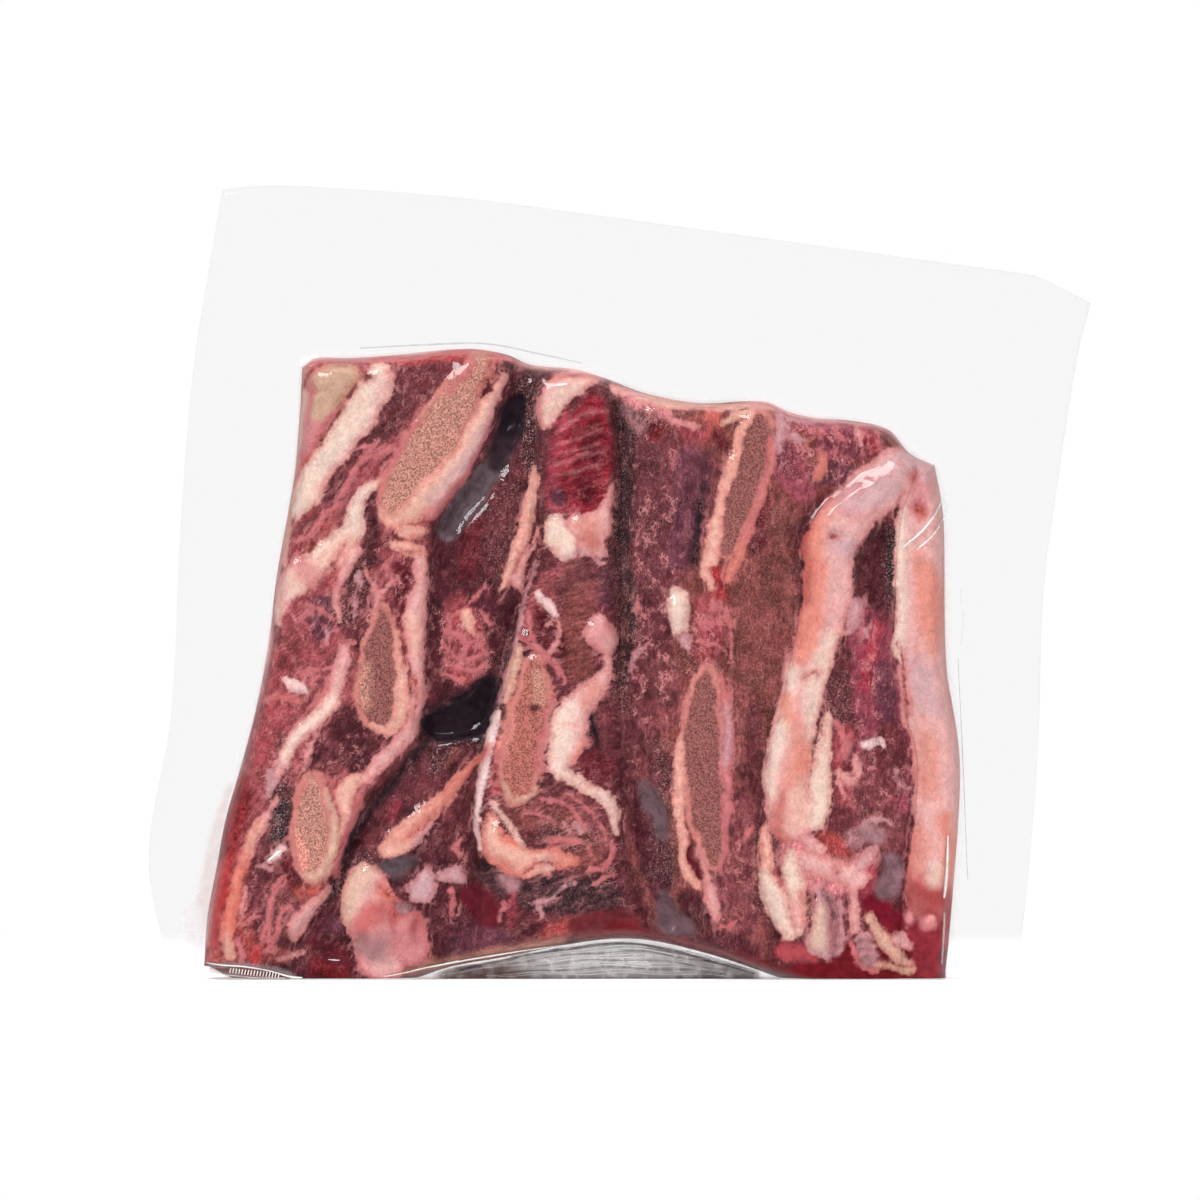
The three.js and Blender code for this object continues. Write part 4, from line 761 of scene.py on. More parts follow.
# Where frost lies on the meat and where it is finely marbled: strength, paths.
FROST = [
    (0.9, (-28, 184, 3, -28, 176, 2.6, -28.6, 168, 2, -28, 160, 1.6)),
    (0.4, (0, 184, 2.6, 2.6, 174, 3.4, 2, 160, 2.8, 0, 146, 3, -0.6, 132, 3.4, 1.6, 120, 3, 1.6, 104, 2.4,
      -1, 92, 1.6, 1, 84, 2)),
    (0.3, (-34, 156, 4, -38, 142, 4, -40, 128, 3)),
    (0.7, (84.8, 140, 1.4, 84.8, 124, 1.6, 84.6, 112, 1), (-106, 66, 3, -105, 54, 3, -106, 46, 2)),
    (0.6, (-104, 74, 2.4, -108, 62, 2)),
    (0.35, (8, 178, 5, 16, 174, 4)),
    (0.1, (10, 160, 5, 10, 140, 5, 8, 124, 4)),
    (0.15, (44, 140, 9, 46, 110, 9, 42, 80, 6)),
    (0.5, (50, 172, 3, 52, 160, 3)),
    (0.6, (-78, 37, 2.4, -84, 33, 2, -88, 28, 1.6), (-58, 66, 2, -52, 74, 2.4, -40, 78, 1.6)),
    (0.7, (-36, 96, 1.6, -33.6, 106, 1.2, -40, 78, 1.4)),
    (0.5, (13, 72, 2.4, 13, 64, 2, 14, 34, 3), (21, 108, 3, 22, 98, 3)),
    (0.45, (-20, 46, 5, -10, 44, 4)),
    (0.15, (-22, 28, 6, -6, 28, 6, 6, 30, 4)),
    (0.5, (46, 24, 3, 44, 44, 2), (68, 92, 3, 67, 82, 3)),
    (0.4, (-86, 116, 5, -82, 128, 4)),
    (0.12, (-72, 176, 8, -62, 188, 6)),
]
MARBLING = [
    (0.9, (-50, 112, 7, -48, 100, 8)),
    (0.4, (-66, 186, 9, -78, 170, 5)),
    (0.5, (-98, 112, 9, -100, 100, 8)),
    (0.6, (-84, 122, 7, -80, 108, 5)),
    (0.4, (-88, 70, 9, -100, 66, 6)),
    (0.5, (-108, 84, 5, -112, 70, 5)),
    (0.6, (10, 170, 7, 10, 130, 8, 8, 108, 8, 10, 88, 8), (26, 108, 7, 24, 98, 5)),
    (0.4, (38, 40, 5, 36, 22, 6)),
    (0.5, (76, 98, 6, 82, 66, 7, 78, 54, 6), (-24, 112, 5)),
    (0.9, (58, 164, 8, 76, 164, 8)),
    (0.6, (-66, 124, 6, -72, 134, 4)),
    (0.2, (-16, 28, 8, -2, 26, 6)),
    (0.4, (-110, 30, 6, -110, 16, 6), (8, 68, 6)),
]

# ---------------------------------------------------------------------------
# What is seen in the film: soft haze, painted sheen and shadow, and thin raised creases in painted highlight
# and shade
# ---------------------------------------------------------------------------

# Painted sheen of the film beside the block, where it is seen at a slant: how strongly, and
# distances inside the block's outline between which it sets in and ends.
SHEEN_HALO = {"strength": 0.12, "outer": (-2.4, -0.4), "inner": (1.0, -0.2)}
HAZE_EDGE = (-2.0, 0.8)  # distances inside a patch's edge between which its haze sets in
WEB_HAZE_AND_SHADOW = (0.48, 0.7)  # strength of the web's painted shadow, seen through crumpled film, in one sheet: in its middle, and at its ends
WEB_REACH = (-61, 46)  # the web lies between these two x
WEB_FADE = (8, 5)  # and fades in over these distances at its left and right
WEB_MIDDLE = -6
WEB_ENDS = (10, 34)  # distances from its middle between which the haze grows
WEB_BROWN = (-26, -34)  # between these two x it turns brown
WEB_EDGE = (-0.2, 1.0)  # distances under the arch between which it sets in
WEB_ROOF = 20  # no part of it is higher than this
CREASE_LIFT = (0.04, 0.2)  # how far the edges and the crest of a crease lie off the film

# Haze in the film: strength in one sheet, tone, paths.
FILM_HAZE = [
    (0.2, "film_lilac", (-121.4, 60, 0.6, -124.6, 50, 1.4, -127, 38, 2, -129, 27, 2.2, -131.4, 14, 2.6,
      -132, 7, 2)),
    (0.25, "film_white_and_sheen", (-133.4, 20, 2.4, -132.4, 13, 3)),
    (0.5, "film_brown", (-127, 3.4, 0.5, -119, 3, 1.2, -110, 2, 1.2, -103, 0.9, 0.5)),
]

# Creases of the film's front: tone, strength, paths. The white ones are painted highlights, the dark ones
# painted shade in the folds.
CREASES = [
    ("film_shade", 0.3, (-81, 196.6, 0.25, -62, 197.6, 0.35, -42, 198, 0.35, -24, 194.6, 0.3, -12, 192, 0.2)),
    ("glint", 0.65, (101.6, 152, 0.3, 98.4, 145.6, 0.6, 94, 139.8, 0.6, 88, 134.6, 0.3)),
    ("glint", 0.5, (103, 150, 0.2, 100.4, 143, 0.5, 96.4, 137.4, 0.5, 92, 133.6, 0.2)),
    ("glint", 0.8, (101.8, 45, 0.3, 101.6, 36, 0.6, 101, 28, 0.7, 100.6, 25.6, 0.4)),
    ("film_white_and_sheen", 0.4, (100.8, 21, 0.3, 100.6, 14, 0.5, 100, 5, 0.3)),
    ("film_shade", 0.4, (105.4, 100, 0.15, 107, 66, 0.2, 108.4, 31, 0.15)),
    ("glint", 0.5, (106.2, 122, 0.25, 107.2, 112, 0.35, 106.6, 104, 0.25)),
    ("glint", 0.9, (-128.6, 5.4, 0.2, -124, 4.8, 0.3, -117, 4.4, 0.28, -110, 3.2, 0.25, -104, 1.6, 0.2)),
    ("film_white_and_sheen", 0.7, (-130, 2.4, 0.25, -122, 1.6, 0.3, -113, 0.9, 0.25, -104, 0.7, 0.2)),
    ("glint", 0.9, (-105.4, 1.9, 0.3, -102, 1, 0.45, -98.6, 0.8, 0.25),
     (-90.6, 6.5, 0.15, -88.8, 6.3, 0.3, -87, 6.2, 0.15)),
    ("glint", 0.8, (-109, 37.4, 0.4, -107, 39, 0.6, -105, 40.6, 0.3)),
    ("glint", 0.9, (-59, 4, 0.2, -45, 6.6, 0.35, -30, 9.1, 0.3, -12, 11.4, 0.2)),
    ("glint", 0.75, (-73, 1.2, 0.2, -66, 2.5, 0.3, -61, 3.7, 0.3, -50, 6, 0.2)),
    ("film_white_and_sheen", 0.6, (-56, 1.2, 0.2, -44, 3.2, 0.3, -34, 5.4, 0.3, -24, 7, 0.2)),
    ("film_shade", 0.7, (-50, 2.6, 0.3, -38, 5.6, 0.4, -26, 7.8, 0.4, -12, 9.6, 0.3)),
    ("film_shade", 0.6, (8, 9.8, 0.3, 20, 7.6, 0.35, 32, 4.4, 0.35, 42, 1.6, 0.25)),
    ("glint", 0.6, (-132.5, 25.5, 0.2, -131, 27.5, 0.35, -129.6, 26, 0.2)),
    ("film_shade", 0.7, (-34, 6.9, 0.2, -22, 8.9, 0.5, -8, 10.6, 0.7, 4, 10.9, 0.7, 16, 9, 0.5, 28, 6, 0.2)),
]

# Bent folds in the web under the arch, drawn as painted highlights and painted shade.
ARCH_LIFTS = np.linspace(0.14, 0.95, 13)  # as shares of the arch's height
ARCH_SPAN = (-38, 35)
ARCH_POINTS = 16
ARCH_SHIFT = 4.0  # how far a fold may lie to the left or right of that span
ARCH_RIPPLE = (4, 0.3)  # a fold's small waves: (wavelength over 2 pi, height)
ARCH_TURNS = (5, 9)  # angles that make each fold's shift and its small waves differ from the next
ARCH_FOOT = 0.5  # lowest height of a fold
ARCH_HALF_WIDTH = 0.26
ARCH_BLUNT = 0.1  # part of its taper, as an angle, that is missing at each end
ARCH_LOOKS = [("glint", 0.85), ("glint", 0.85), ("film_shade", 0.5)]  # by turns

# The ribs of the weld: places of the first and the last, their number and their half sizes.
RIBS = {"x": (-121, -106), "z": (3.1, 1.5), "count": 17, "half_width": 0.24, "lean": 0.2, "rise": 0.8}
# the ribs' white is a painted highlight
RIB_LOOK = ("glint", 0.95)

# ---------------------------------------------------------------------------
# Small mathematics
# ---------------------------------------------------------------------------

LATTICE_SIZE = 64
LATTICE_SEED = 11
LATTICE = np.random.default_rng(LATTICE_SEED).random((LATTICE_SIZE, LATTICE_SIZE))
SEED_TURN = 0.7  # each next seed turns the lattice by this angle
SEED_SHIFT = (3.1, 5.7)  # and moves it by this many cells


def smooth_step(low, high, value):
    """Share from 0 to 1 that grows smoothly while the value goes from `low` to `high`."""
    share = np.clip((value - low) / (high - low), 0, 1)
    return share * share * (3 - 2 * share)


def smooth_curve(pairs):
    """Smooth function through the given (input, value) pairs, level beyond both ends."""
    at = np.array([pair[0] for pair in pairs], float)
    value = np.array([pair[1] for pair in pairs], float)
    slope = np.gradient(value, at)
    slope[1:-1] = (value[2:] - value[:-2]) / (at[2:] - at[:-2])

    def curve(asked):
        asked = np.clip(asked, at[0], at[-1])
        left = np.clip(np.searchsorted(at, asked, side="right") - 1, 0, len(at) - 2)
        width = at[left + 1] - at[left]
        t = (asked - at[left]) / width
        start = (1 + 2 * t) * (1 - t) ** 2 * value[left] + t * (1 - t) ** 2 * width * slope[left]
        end = t * t * (3 - 2 * t) * value[left + 1] + t * t * (t - 1) * width * slope[left + 1]
        return start + end

    return curve


def noise(x, z, lump, seed):
    """Smooth random field from -1 to 1, with lumps about `lump` mm across."""
    turn = SEED_TURN * seed
    a = (x * math.cos(turn) + z * math.sin(turn)) / lump + SEED_SHIFT[0] * seed
    b = (z * math.cos(turn) - x * math.sin(turn)) / lump + SEED_SHIFT[1] * seed
    column = np.floor(a).astype(int)
    row = np.floor(b).astype(int)
    s = smooth_step(0, 1, a - column)
    t = smooth_step(0, 1, b - row)

    def corner(right, up):
        return LATTICE[(column + right) % LATTICE_SIZE, (row + up) % LATTICE_SIZE]

    low = corner(0, 0) * (1 - s) + corner(1, 0) * s
    high = corner(0, 1) * (1 - s) + corner(1, 1) * s
    return 2 * (low * (1 - t) + high * t) - 1


def swept_steps(path):
    """A flat tuple of (x, z, half-width) values as a smooth chain, one short step a row."""
    knots = np.array(path, float).reshape(-1, 3)
    if len(knots) == 1:
        return knots
    ends = np.vstack([2 * knots[0] - knots[1], knots, 2 * knots[-1] - knots[-2]])
    chain = [knots[0]]
    for before, start, end, after in zip(ends, ends[1:], ends[2:], ends[3:]):
        steps = max(2, int(np.hypot(*(end - start)[:2]) / STROKE_STEP) + 1)
        for step in range(1, steps + 1):
            t = step / steps
            bend = (2 * before - 5 * start + 4 * end - after) * t * t
            bend += (3 * start - before - 3 * end + after) * t ** 3
            chain.append(start + 0.5 * ((end - before) * t + bend))
    chain = np.array(chain)
    chain[:, 2] = np.maximum(chain[:, 2], LEAST_HALF_WIDTH)
    return chain


def stroke_inside(path, x, z, reach):
    """How far each point lies inside a round-ended stroke, in mm, down to -reach outside it."""
    chain = swept_steps(path)
    inside = np.full(x.shape, -float(reach))
    margin = chain[:, 2].max() + reach
    low = chain[:, :2].min(axis=0) - margin
    high = chain[:, :2].max(axis=0) + margin
    near = np.flatnonzero((x > low[0]) & (x < high[0]) & (z > low[1]) & (z < high[1]))
    if near.size == 0:
        return inside
    near_x = x[near]
    near_z = z[near]
    best = inside[near]
    for start, end in zip(chain, chain[1:] if len(chain) > 1 else chain):
        run = end - start
        length = max(run[0] ** 2 + run[1] ** 2, TINY)
        t = np.clip(((near_x - start[0]) * run[0] + (near_z - start[1]) * run[1]) / length, 0, 1)
        away = np.hypot(near_x - start[0] - t * run[0], near_z - start[1] - t * run[1])
        best = np.maximum(best, start[2] + t * run[2] - away)
    inside[near] = best
    return inside


def linear(tone):
    """Linear colour of a tone's sRGB values."""
    share = np.array(TONES[tone]) / 255
    return ((share + 0.055) / 1.055) ** 2.4


# ---------------------------------------------------------------------------
# Outlines and the relief of the two faces
# ---------------------------------------------------------------------------

pouch_left = smooth_curve(POUCH_LEFT)
pouch_right = smooth_curve(POUCH_RIGHT)
pouch_top = smooth_curve(POUCH_TOP)
block_top = smooth_curve(BLOCK_TOP)
block_underside = smooth_curve(BLOCK_UNDERSIDE)
border_lines = [smooth_curve(border["line"]) for border in BORDERS]
INNER = range(1, len(BORDERS) - 1)  # the borders between two pieces


def block_outline():
    """The block's outline as a closed chain of points (x, z)."""
    left, right = BLOCK_TOP[0], BLOCK_TOP[-1]
    left_foot, right_foot = BLOCK_UNDERSIDE[0], BLOCK_UNDERSIDE[-1]
    up = np.linspace(left_foot[1], left[1], OUTLINE_POINTS["left"])
    across = np.linspace(left[0], right[0], OUTLINE_POINTS["top"])
    down = np.linspace(right[1], right_foot[1], OUTLINE_POINTS["right"])
    back = np.linspace(right_foot[0], left_foot[0], OUTLINE_POINTS["underside"])
    return np.vstack([
        np.column_stack([border_lines[0](up), up]),
        np.column_stack([across, block_top(across)]),
        np.column_stack([border_lines[-1](down), down]),
        np.column_stack([back, block_underside(back)]),
    ])


OUTLINE = block_outline()


def depth_inside(x, z):
    """How far a point lies inside the block's outline, negative outside it."""
    nearest = np.full(x.shape, np.inf)
    inside = np.zeros(x.shape, bool)
    for (ax, az), (bx, bz) in zip(OUTLINE, np.roll(OUTLINE, -1, axis=0)):
        run_x, run_z = bx - ax, bz - az
        length = run_x ** 2 + run_z ** 2
        if length < TINY:
            continue
        t = np.clip(((x - ax) * run_x + (z - az) * run_z) / length, 0, 1)
        nearest = np.minimum(nearest, np.hypot(x - ax - t * run_x, z - az - t * run_z))
        if az != bz:
            inside ^= ((az > z) != (bz > z)) & (x < run_x * (z - az) / run_z + ax)
    return np.where(inside, nearest, -nearest)


def border_offset(number, x, z):
    """Distance from a border line, positive to the right of it."""
    line = border_lines[number]
    slope = line(z + 0.5) - line(z - 0.5)
    return (x - line(z)) / np.sqrt(1 + slope ** 2)


def strip_relief(x, z, fat, bone, face):
    """Rise of a face: strips at their levels, grooves, hollows, fat and bone."""
    rise = np.full(x.shape, STRIPS[0]["level"])
    groove = np.zeros(x.shape)
    nearest = np.full(x.shape, float(CROWN_REACH))
    for number in INNER:
        offset = border_offset(number, x, z)
        step = STRIPS[number]["level"] - STRIPS[number - 1]["level"]
        rise += step * smooth_step(-LEVEL_BLEND, LEVEL_BLEND, offset)
        depth = BORDERS[number]["groove"] * (1 - smooth_step(0, BORDERS[number]["half"], abs(offset)))
        groove = np.maximum(groove, depth)
        nearest = np.minimum(nearest, abs(offset))
    rise += CROWN * smooth_step(0, CROWN_REACH, nearest) - groove
    rise += PALE_RISE * smooth_step(*PALE_EDGE, fat) + PALE_SWELL * smooth_step(*SWELL_EDGE, fat)
    rise += BONE_RISE * smooth_step(*BONE_EDGE, bone)
    for height, *paths in HOLLOWS:
        for path in paths:
            rise += height * smooth_step(*HOLLOW_EDGE, stroke_inside(path, x, z, PATCH_REACH))
    for lump, height in RELIEF_NOISE:
        rise += height * noise(x, z, lump, RELIEF_BACK * face + lump)
    return rise


def edge_share(inside):
    """Share of the full depth that the block has this far in from its outline."""
    outward = 1 - np.clip(inside / EDGE_ROUND, 0, 1)
    return np.sqrt(1 - outward ** 2)


def meat_depth(x, z, inside, fat, bone, face):
    """Half-depth of the block of meat at a point of its front (0) or back (1) face."""
    full = HALF_DEPTH - RELIEF_ROOM + strip_relief(x, z, fat, bone, face)
    return EDGE_HALF_DEPTH + (full - EDGE_HALF_DEPTH) * edge_share(inside)


# ---------------------------------------------------------------------------
# Painting: the marks become values at the points of a face
# ---------------------------------------------------------------------------


class Paint:
    """Colours and depths of fat and bone at the points of one face."""

    def __init__(self, x, z, inside, ground_tone, face):
        self.x, self.z = warped(x, z, face)
        self.ground = np.tile(linear(ground_tone), (len(x), 1))
        self.fat_tone = np.tile(linear("pink"), (len(x), 1))
        self.fat = np.full(len(x), -FIELD_REACH)
        self.bone = np.full(len(x), -FIELD_REACH)
        self.calm = np.zeros(len(x))
        self.paint_seam_shade(x, z)
        self.paint_marks()
        self.paint_pale_and_lit_rim(x, z, inside, face)

    def paint_seam_shade(self, x, z):
        """Painted shade: the lean meat is dark close to the seams between the pieces."""
        seam = np.min([abs(border_offset(number, x, z)) for number in INNER], axis=0)
        self.cover(self.ground, linear("meat_deep"), SEAM_SHADE_STRENGTH * (1 - smooth_step(0, SEAM_SHADE, seam)))

    def paint_marks(self):
        """Every mark of the cut faces, by the method that is named after its kind."""
        for kind, tone, *paths in MARKS:
            for path in paths:
                reached = stroke_inside(path, self.x, self.z, FIELD_REACH)
                if reached.max() > -FIELD_REACH:
                    getattr(self, kind)(linear(tone), reached)

    def paint_pale_and_lit_rim(self, x, z, inside, face):
        """Pale stretches along the outline of the block, above its foot: pale membrane, and painted light on
        the rounded edge.
        """
        rim = smooth_step(*RIM_FOOT, z) * (1 - smooth_step(RIM_FULL, RIM_WIDTH, inside))
        rim = rim * smooth_step(*RIM_BREAK, noise(x, z, RIM_PATCH, SEEDS["rim"] + face))
        self.cover(self.ground, linear("rim"), RIM_STRENGTH * rim)
        self.calm = np.maximum(self.calm, RIM_CALM * rim)

    def cover(self, colours, tone, share):
        """Mix a tone into the colours, by a share for each point."""
        colours += share[:, None] * (tone - colours)

    def lean(self, tone, inside):
        """A patch of lean meat."""
        self.cover(self.ground, tone, mark_share("lean", inside))

    def thread(self, tone, inside):
        """A thin soft line in the lean meat."""
        self.cover(self.ground, tone, THREAD_COVER * mark_share("thread", inside))

    def pale(self, tone, inside):
        """Fat, rind or sinew. Its tone is carried a little past its edge."""
        carried = (inside > self.fat) & (inside > -PALE_MARGIN)
        self.cover(self.fat_tone, tone, np.maximum(mark_share("pale", inside), carried))
        self.fat = np.maximum(self.fat, inside)

    def tint(self, tone, inside):
        """Another colour for what is pale already."""
        self.cover(self.fat_tone, tone, TINT_COVER * mark_share("tint", inside))

    def cut(self, tone, inside):
        """Lean meat that cuts into what is pale."""
        self.fat = np.minimum(self.fat, -inside)
        self.cover(self.ground, tone, mark_share("cut", inside))

    def marrow(self, tone, inside):
        """The spongy middle of a bone, with its pale ring."""
        self.pale(linear("bone_rim"), inside + BONE_RIM)
        self.cut(tone, inside)
        self.bone = np.maximum(self.bone, inside)

    def pool(self, tone, inside):
        """Smooth juice, a gap or a bubble, over everything else."""
        self.fat = np.minimum(self.fat, -inside)
        self.cover(self.ground, tone, mark_share("pool", inside))
        self.bone = np.minimum(self.bone, -inside)
        self.calm = np.maximum(self.calm, mark_share("calm", inside))

    def strength(self, patches):
        """How strongly the given patches cover each point, from 0 to 1."""
        total = np.zeros(len(self.x))
        for amount, *paths in patches:
            for path in paths:
                inside = stroke_inside(path, self.x, self.z, PATCH_REACH)
                total = np.maximum(total, amount * smooth_step(-PATCH_REACH, PATCH_FULL, inside))
        return total


def mark_share(kind, inside):
    """Share of a mark's colour at points that lie this far inside its edge."""
    return smooth_step(*MARK_EDGES[kind], inside)


def warped(x, z, face):
    """Points moved by a little noise, so that no mark has a drawn edge; the back is moved further."""
    moved_x, moved_z = x, z
    if face:
        bend = BACK_SHIFT["bend"]
        moved_x = x + BACK_SHIFT["x"] + bend * noise(x, z, BACK_BEND_SIZE, SEEDS["bend_x"])
        moved_z = z + BACK_SHIFT["z"] + bend * noise(x, z, BACK_BEND_SIZE, SEEDS["bend_z"])
    for lump, amount in WARPS:
        moved_x = moved_x + amount * noise(x, z, lump, SEEDS["warp_x"] + face)
        moved_z = moved_z + amount * noise(x, z, lump, SEEDS["warp_z"] + face)
    return moved_x, moved_z


# ---------------------------------------------------------------------------
# Closed meshes: two sheets over one grid, joined along their four sides
# ---------------------------------------------------------------------------

ROUND_CELLS = 1.6  # a round end has this many times the cells of a straight one
HALF_MAP = 0.49  # widths and heights within the square of the UV map
SHEET_MAP_TOP = 0.96
WALL_MAP = (0.97, 0.995)
WALL_SHARE = 0.8  # of a wall's place in the band, so that neighbours don't touch


def spaced(length, pitch, low_round, high_round):
    """Shares from 0 to 1 that stand closer together where an end is round over a distance."""

    def closer(reach):
        """Distances over a round end, whose section is a quarter circle."""
        steps = int(ROUND_CELLS * reach / pitch) + 3
        return reach * (1 - np.cos(np.linspace(0, math.pi / 2, steps + 1)[:-1]))

    middle = np.arange(low_round, length - high_round, pitch)
    low = closer(low_round) if low_round else []
    high = closer(high_round) if high_round else [0.0]
    return np.concatenate([low, middle, length - np.array(high)[::-1]]) / length


def crossing(column, curve, heights):
    """Height at which each column x(z) meets the curve z(x), by halving the range of heights."""
    low = np.full(column(0.0).shape, float(heights[0]))
    high = np.full(low.shape, float(heights[1]))
    for _ in range(HALVINGS):
        middle = (low + high) / 2
        below = middle < curve(column(middle))
        low = np.where(below, middle, low)
        high = np.where(below, high, middle)
    return low


def block_foot(floor):
    """Lower end of the block as a curve z(x), no lower than `floor`."""
    return lambda x: np.maximum(block_underside(x), floor)


def grid_faces(rows, columns):
    """Quads of the front sheet, the back sheet and the four walls of a closed mesh."""
    index = np.arange(rows * columns).reshape(rows, columns)
    back = index + rows * columns
    front_quads = np.stack([index[:-1, :-1], index[:-1, 1:], index[1:, 1:], index[1:, :-1]], -1)
    back_quads = np.stack([back[:-1, :-1], back[1:, :-1], back[1:, 1:], back[:-1, 1:]], -1)
    walls = [
        (back[0, :-1], back[0, 1:], index[0, 1:], index[0, :-1]),
        (index[-1, :-1], index[-1, 1:], back[-1, 1:], back[-1, :-1]),
        (index[:-1, 0], index[1:, 0], back[1:, 0], back[:-1, 0]),
        (back[:-1, -1], back[1:, -1], index[1:, -1], index[:-1, -1]),
    ]
    walls = np.vstack([np.stack(wall, -1) for wall in walls])
    return front_quads.reshape(-1, 4), back_quads.reshape(-1, 4), walls


def closed_piece(name, x, z, front_y, back_y):
    """Object of two sheets over the grid (x, z), in mm, with smooth sheets and flat walls."""
    sheets = [np.column_stack([x.ravel(), y.ravel(), z.ravel()]) for y in (front_y, back_y)]
    points = np.vstack(sheets) * MM
    front, back, walls = grid_faces(*x.shape)
    quads = np.vstack([front, back, walls])
    mesh = bpy.data.meshes.new(name)
    mesh.vertices.add(len(points))
    mesh.vertices.foreach_set("co", points.ravel())
    mesh.loops.add(quads.size)
    mesh.loops.foreach_set("vertex_index", quads.ravel())
    mesh.polygons.add(len(quads))
    mesh.polygons.foreach_set("loop_start", np.arange(0, quads.size, 4))
    mesh.polygons.foreach_set("loop_total", np.full(len(quads), 4))
    smooth = np.arange(len(quads)) < len(front) + len(back)
    mesh.polygons.foreach_set("use_smooth", smooth)
    mesh.update(calc_edges=True)
    add_bake_map(mesh, points, front, back, walls)
    return placed(name, mesh)


def placed(name, mesh):
    """Object of a mesh, or of a lamp or camera, in the scene."""
    thing = bpy.data.objects.new(name, mesh)
    bpy.context.scene.collection.objects.link(thing)
    return thing


def add_bake_map(mesh, points, front, back, walls):
    """UV map: the front in the left half, the back in the right half, the walls in a band above."""
    place = points[:, [0, 2]]
    place = (place - place.min(axis=0)) / np.ptp(place, axis=0)
    size = (HALF_MAP, SHEET_MAP_TOP)
    low, high = WALL_MAP
    band = np.tile([(0, low), (1, low), (1, high), (0, high)], (len(walls), 1, 1))
    start = np.arange(len(walls)) / len(walls)
    band[:, :, 0] = start[:, None] + band[:, :, 0] * WALL_SHARE / len(walls)
    places = np.vstack([place[front] * size, place[back] * size + (0.5, 0), band])
    mesh.uv_layers.new(name="OFBake").data.foreach_set("uv", places.ravel())


def add_values(piece, name, values, is_colour=True):
    """Store one number or three for each vertex, as a number, a colour or a vector."""
    values = np.asarray(values, float)
    kind, key = "FLOAT", "value"
    if values.ndim == 2 and is_colour:
        kind, key = "FLOAT_COLOR", "color"
        values = np.column_stack([values, np.ones(len(values))])
    elif values.ndim == 2:
        kind, key = "FLOAT_VECTOR", "vector"
    layer = piece.data.attributes.new(name, kind, "POINT")
    layer.data.foreach_set(key, values.ravel())


# ---------------------------------------------------------------------------
# The six pieces of meat
# ---------------------------------------------------------------------------

WIDTH_HEIGHTS = np.linspace(10, 170, 9)  # a strip's width is the mean of its widths here


def strip_grid(number):
    """Grid of points (x, z) over one strip, with columns along its borders and rows across."""
    left, right = border_lines[number], border_lines[number + 1]
    width = np.mean(right(WIDTH_HEIGHTS) - left(WIDTH_HEIGHTS))
    first, last = number == 0, number == len(STRIPS) - 1
    low_round, low_gap = (EDGE_ROUND, 0) if first else (SEAM_REACH, PIECE_GAP)
    high_round, high_gap = (EDGE_ROUND, 0) if last else (SEAM_REACH, PIECE_GAP)
    share = spaced(width, MESH_PITCH, low_round, high_round)

    def column(z):
        start = left(z) + low_gap
        return start + share * (right(z) - high_gap - start)

    foot = crossing(column, block_foot(FLOOR_GAP), FOOT_HEIGHTS)
    head = crossing(column, block_top, HEAD_HEIGHTS)
    rows = spaced(BLOCK_HEIGHT, MESH_PITCH, EDGE_ROUND, EDGE_ROUND)
    z = foot + rows[:, None] * (head - foot)
    return column(z), z


def seam_roll(x, z, number):
    """How far a piece rolls over where it meets its neighbours."""
    drop = np.zeros(x.shape)
    for border in (number, number + 1):
        if border in INNER:
            outward = 1 - np.clip(abs(border_offset(border, x, z)) / SEAM_REACH, 0, 1)
            drop = np.maximum(drop, SEAM_DROP * (1 - np.sqrt(1 - outward ** 2)))
    return drop


def grain_place(x, z, y, turn):
    """Places in mm measured across and along the fibres."""
    turn = math.radians(turn)
    along = x * math.cos(turn) + z * math.sin(turn)
    across = z * math.cos(turn) - x * math.sin(turn)
    return np.column_stack([across, along, y])


def both_faces(values, inside):
    """Values of the front and the back, which meet half-way on the block's side walls."""
    front, back = values
    share = 0.5 - 0.5 * smooth_step(0, WALL_BLEND, inside)
    if front.ndim == 2:
        share = share[:, None]
    change = share * (back - front)
    return np.concatenate([front + change, back - change])


def make_strip(number):
    """One piece of meat: its front and back are painted alike, and its relief follows the paint."""
    strip = STRIPS[number]
    grid_x, grid_z = strip_grid(number)
    x, z = grid_x.ravel(), grid_z.ravel()
    inside = depth_inside(x, z)
    lump, height = MEAT_GRAIN
    paints, sheets = [], []
    for face, side in ((0, -1), (1, 1)):
        paint = Paint(x, z, inside, GROUND_TONES[number], face)
        depth = meat_depth(x, z, inside, paint.fat, paint.bone, face)
        rough = height * noise(x, z, lump, SEEDS["grain"] + face)
        depth += (rough - seam_roll(x, z, number)) * edge_share(inside)
        sheets.append(side * depth)
        paints.append(paint)
    piece = closed_piece(strip["name"], grid_x, grid_z, *sheets)
    values = {name: [getattr(paint, name) for paint in paints]
              for name in ("fat", "bone", "calm", "ground", "fat_tone")}
    values["frost"] = [paint.strength(FROST) for paint in paints]
    values["marbling"] = [paint.strength(MARBLING) for paint in paints]
    for name, faces in values.items():
        add_values(piece, name, both_faces(faces, inside))
    places = [grain_place(x, z, y, strip["fibre"]) for y in sheets]
    add_values(piece, "grain", np.vstack(places), is_colour=False)
    return piece


# ---------------------------------------------------------------------------
# The pouch: film drawn tight over the block, and its free margin
# ---------------------------------------------------------------------------


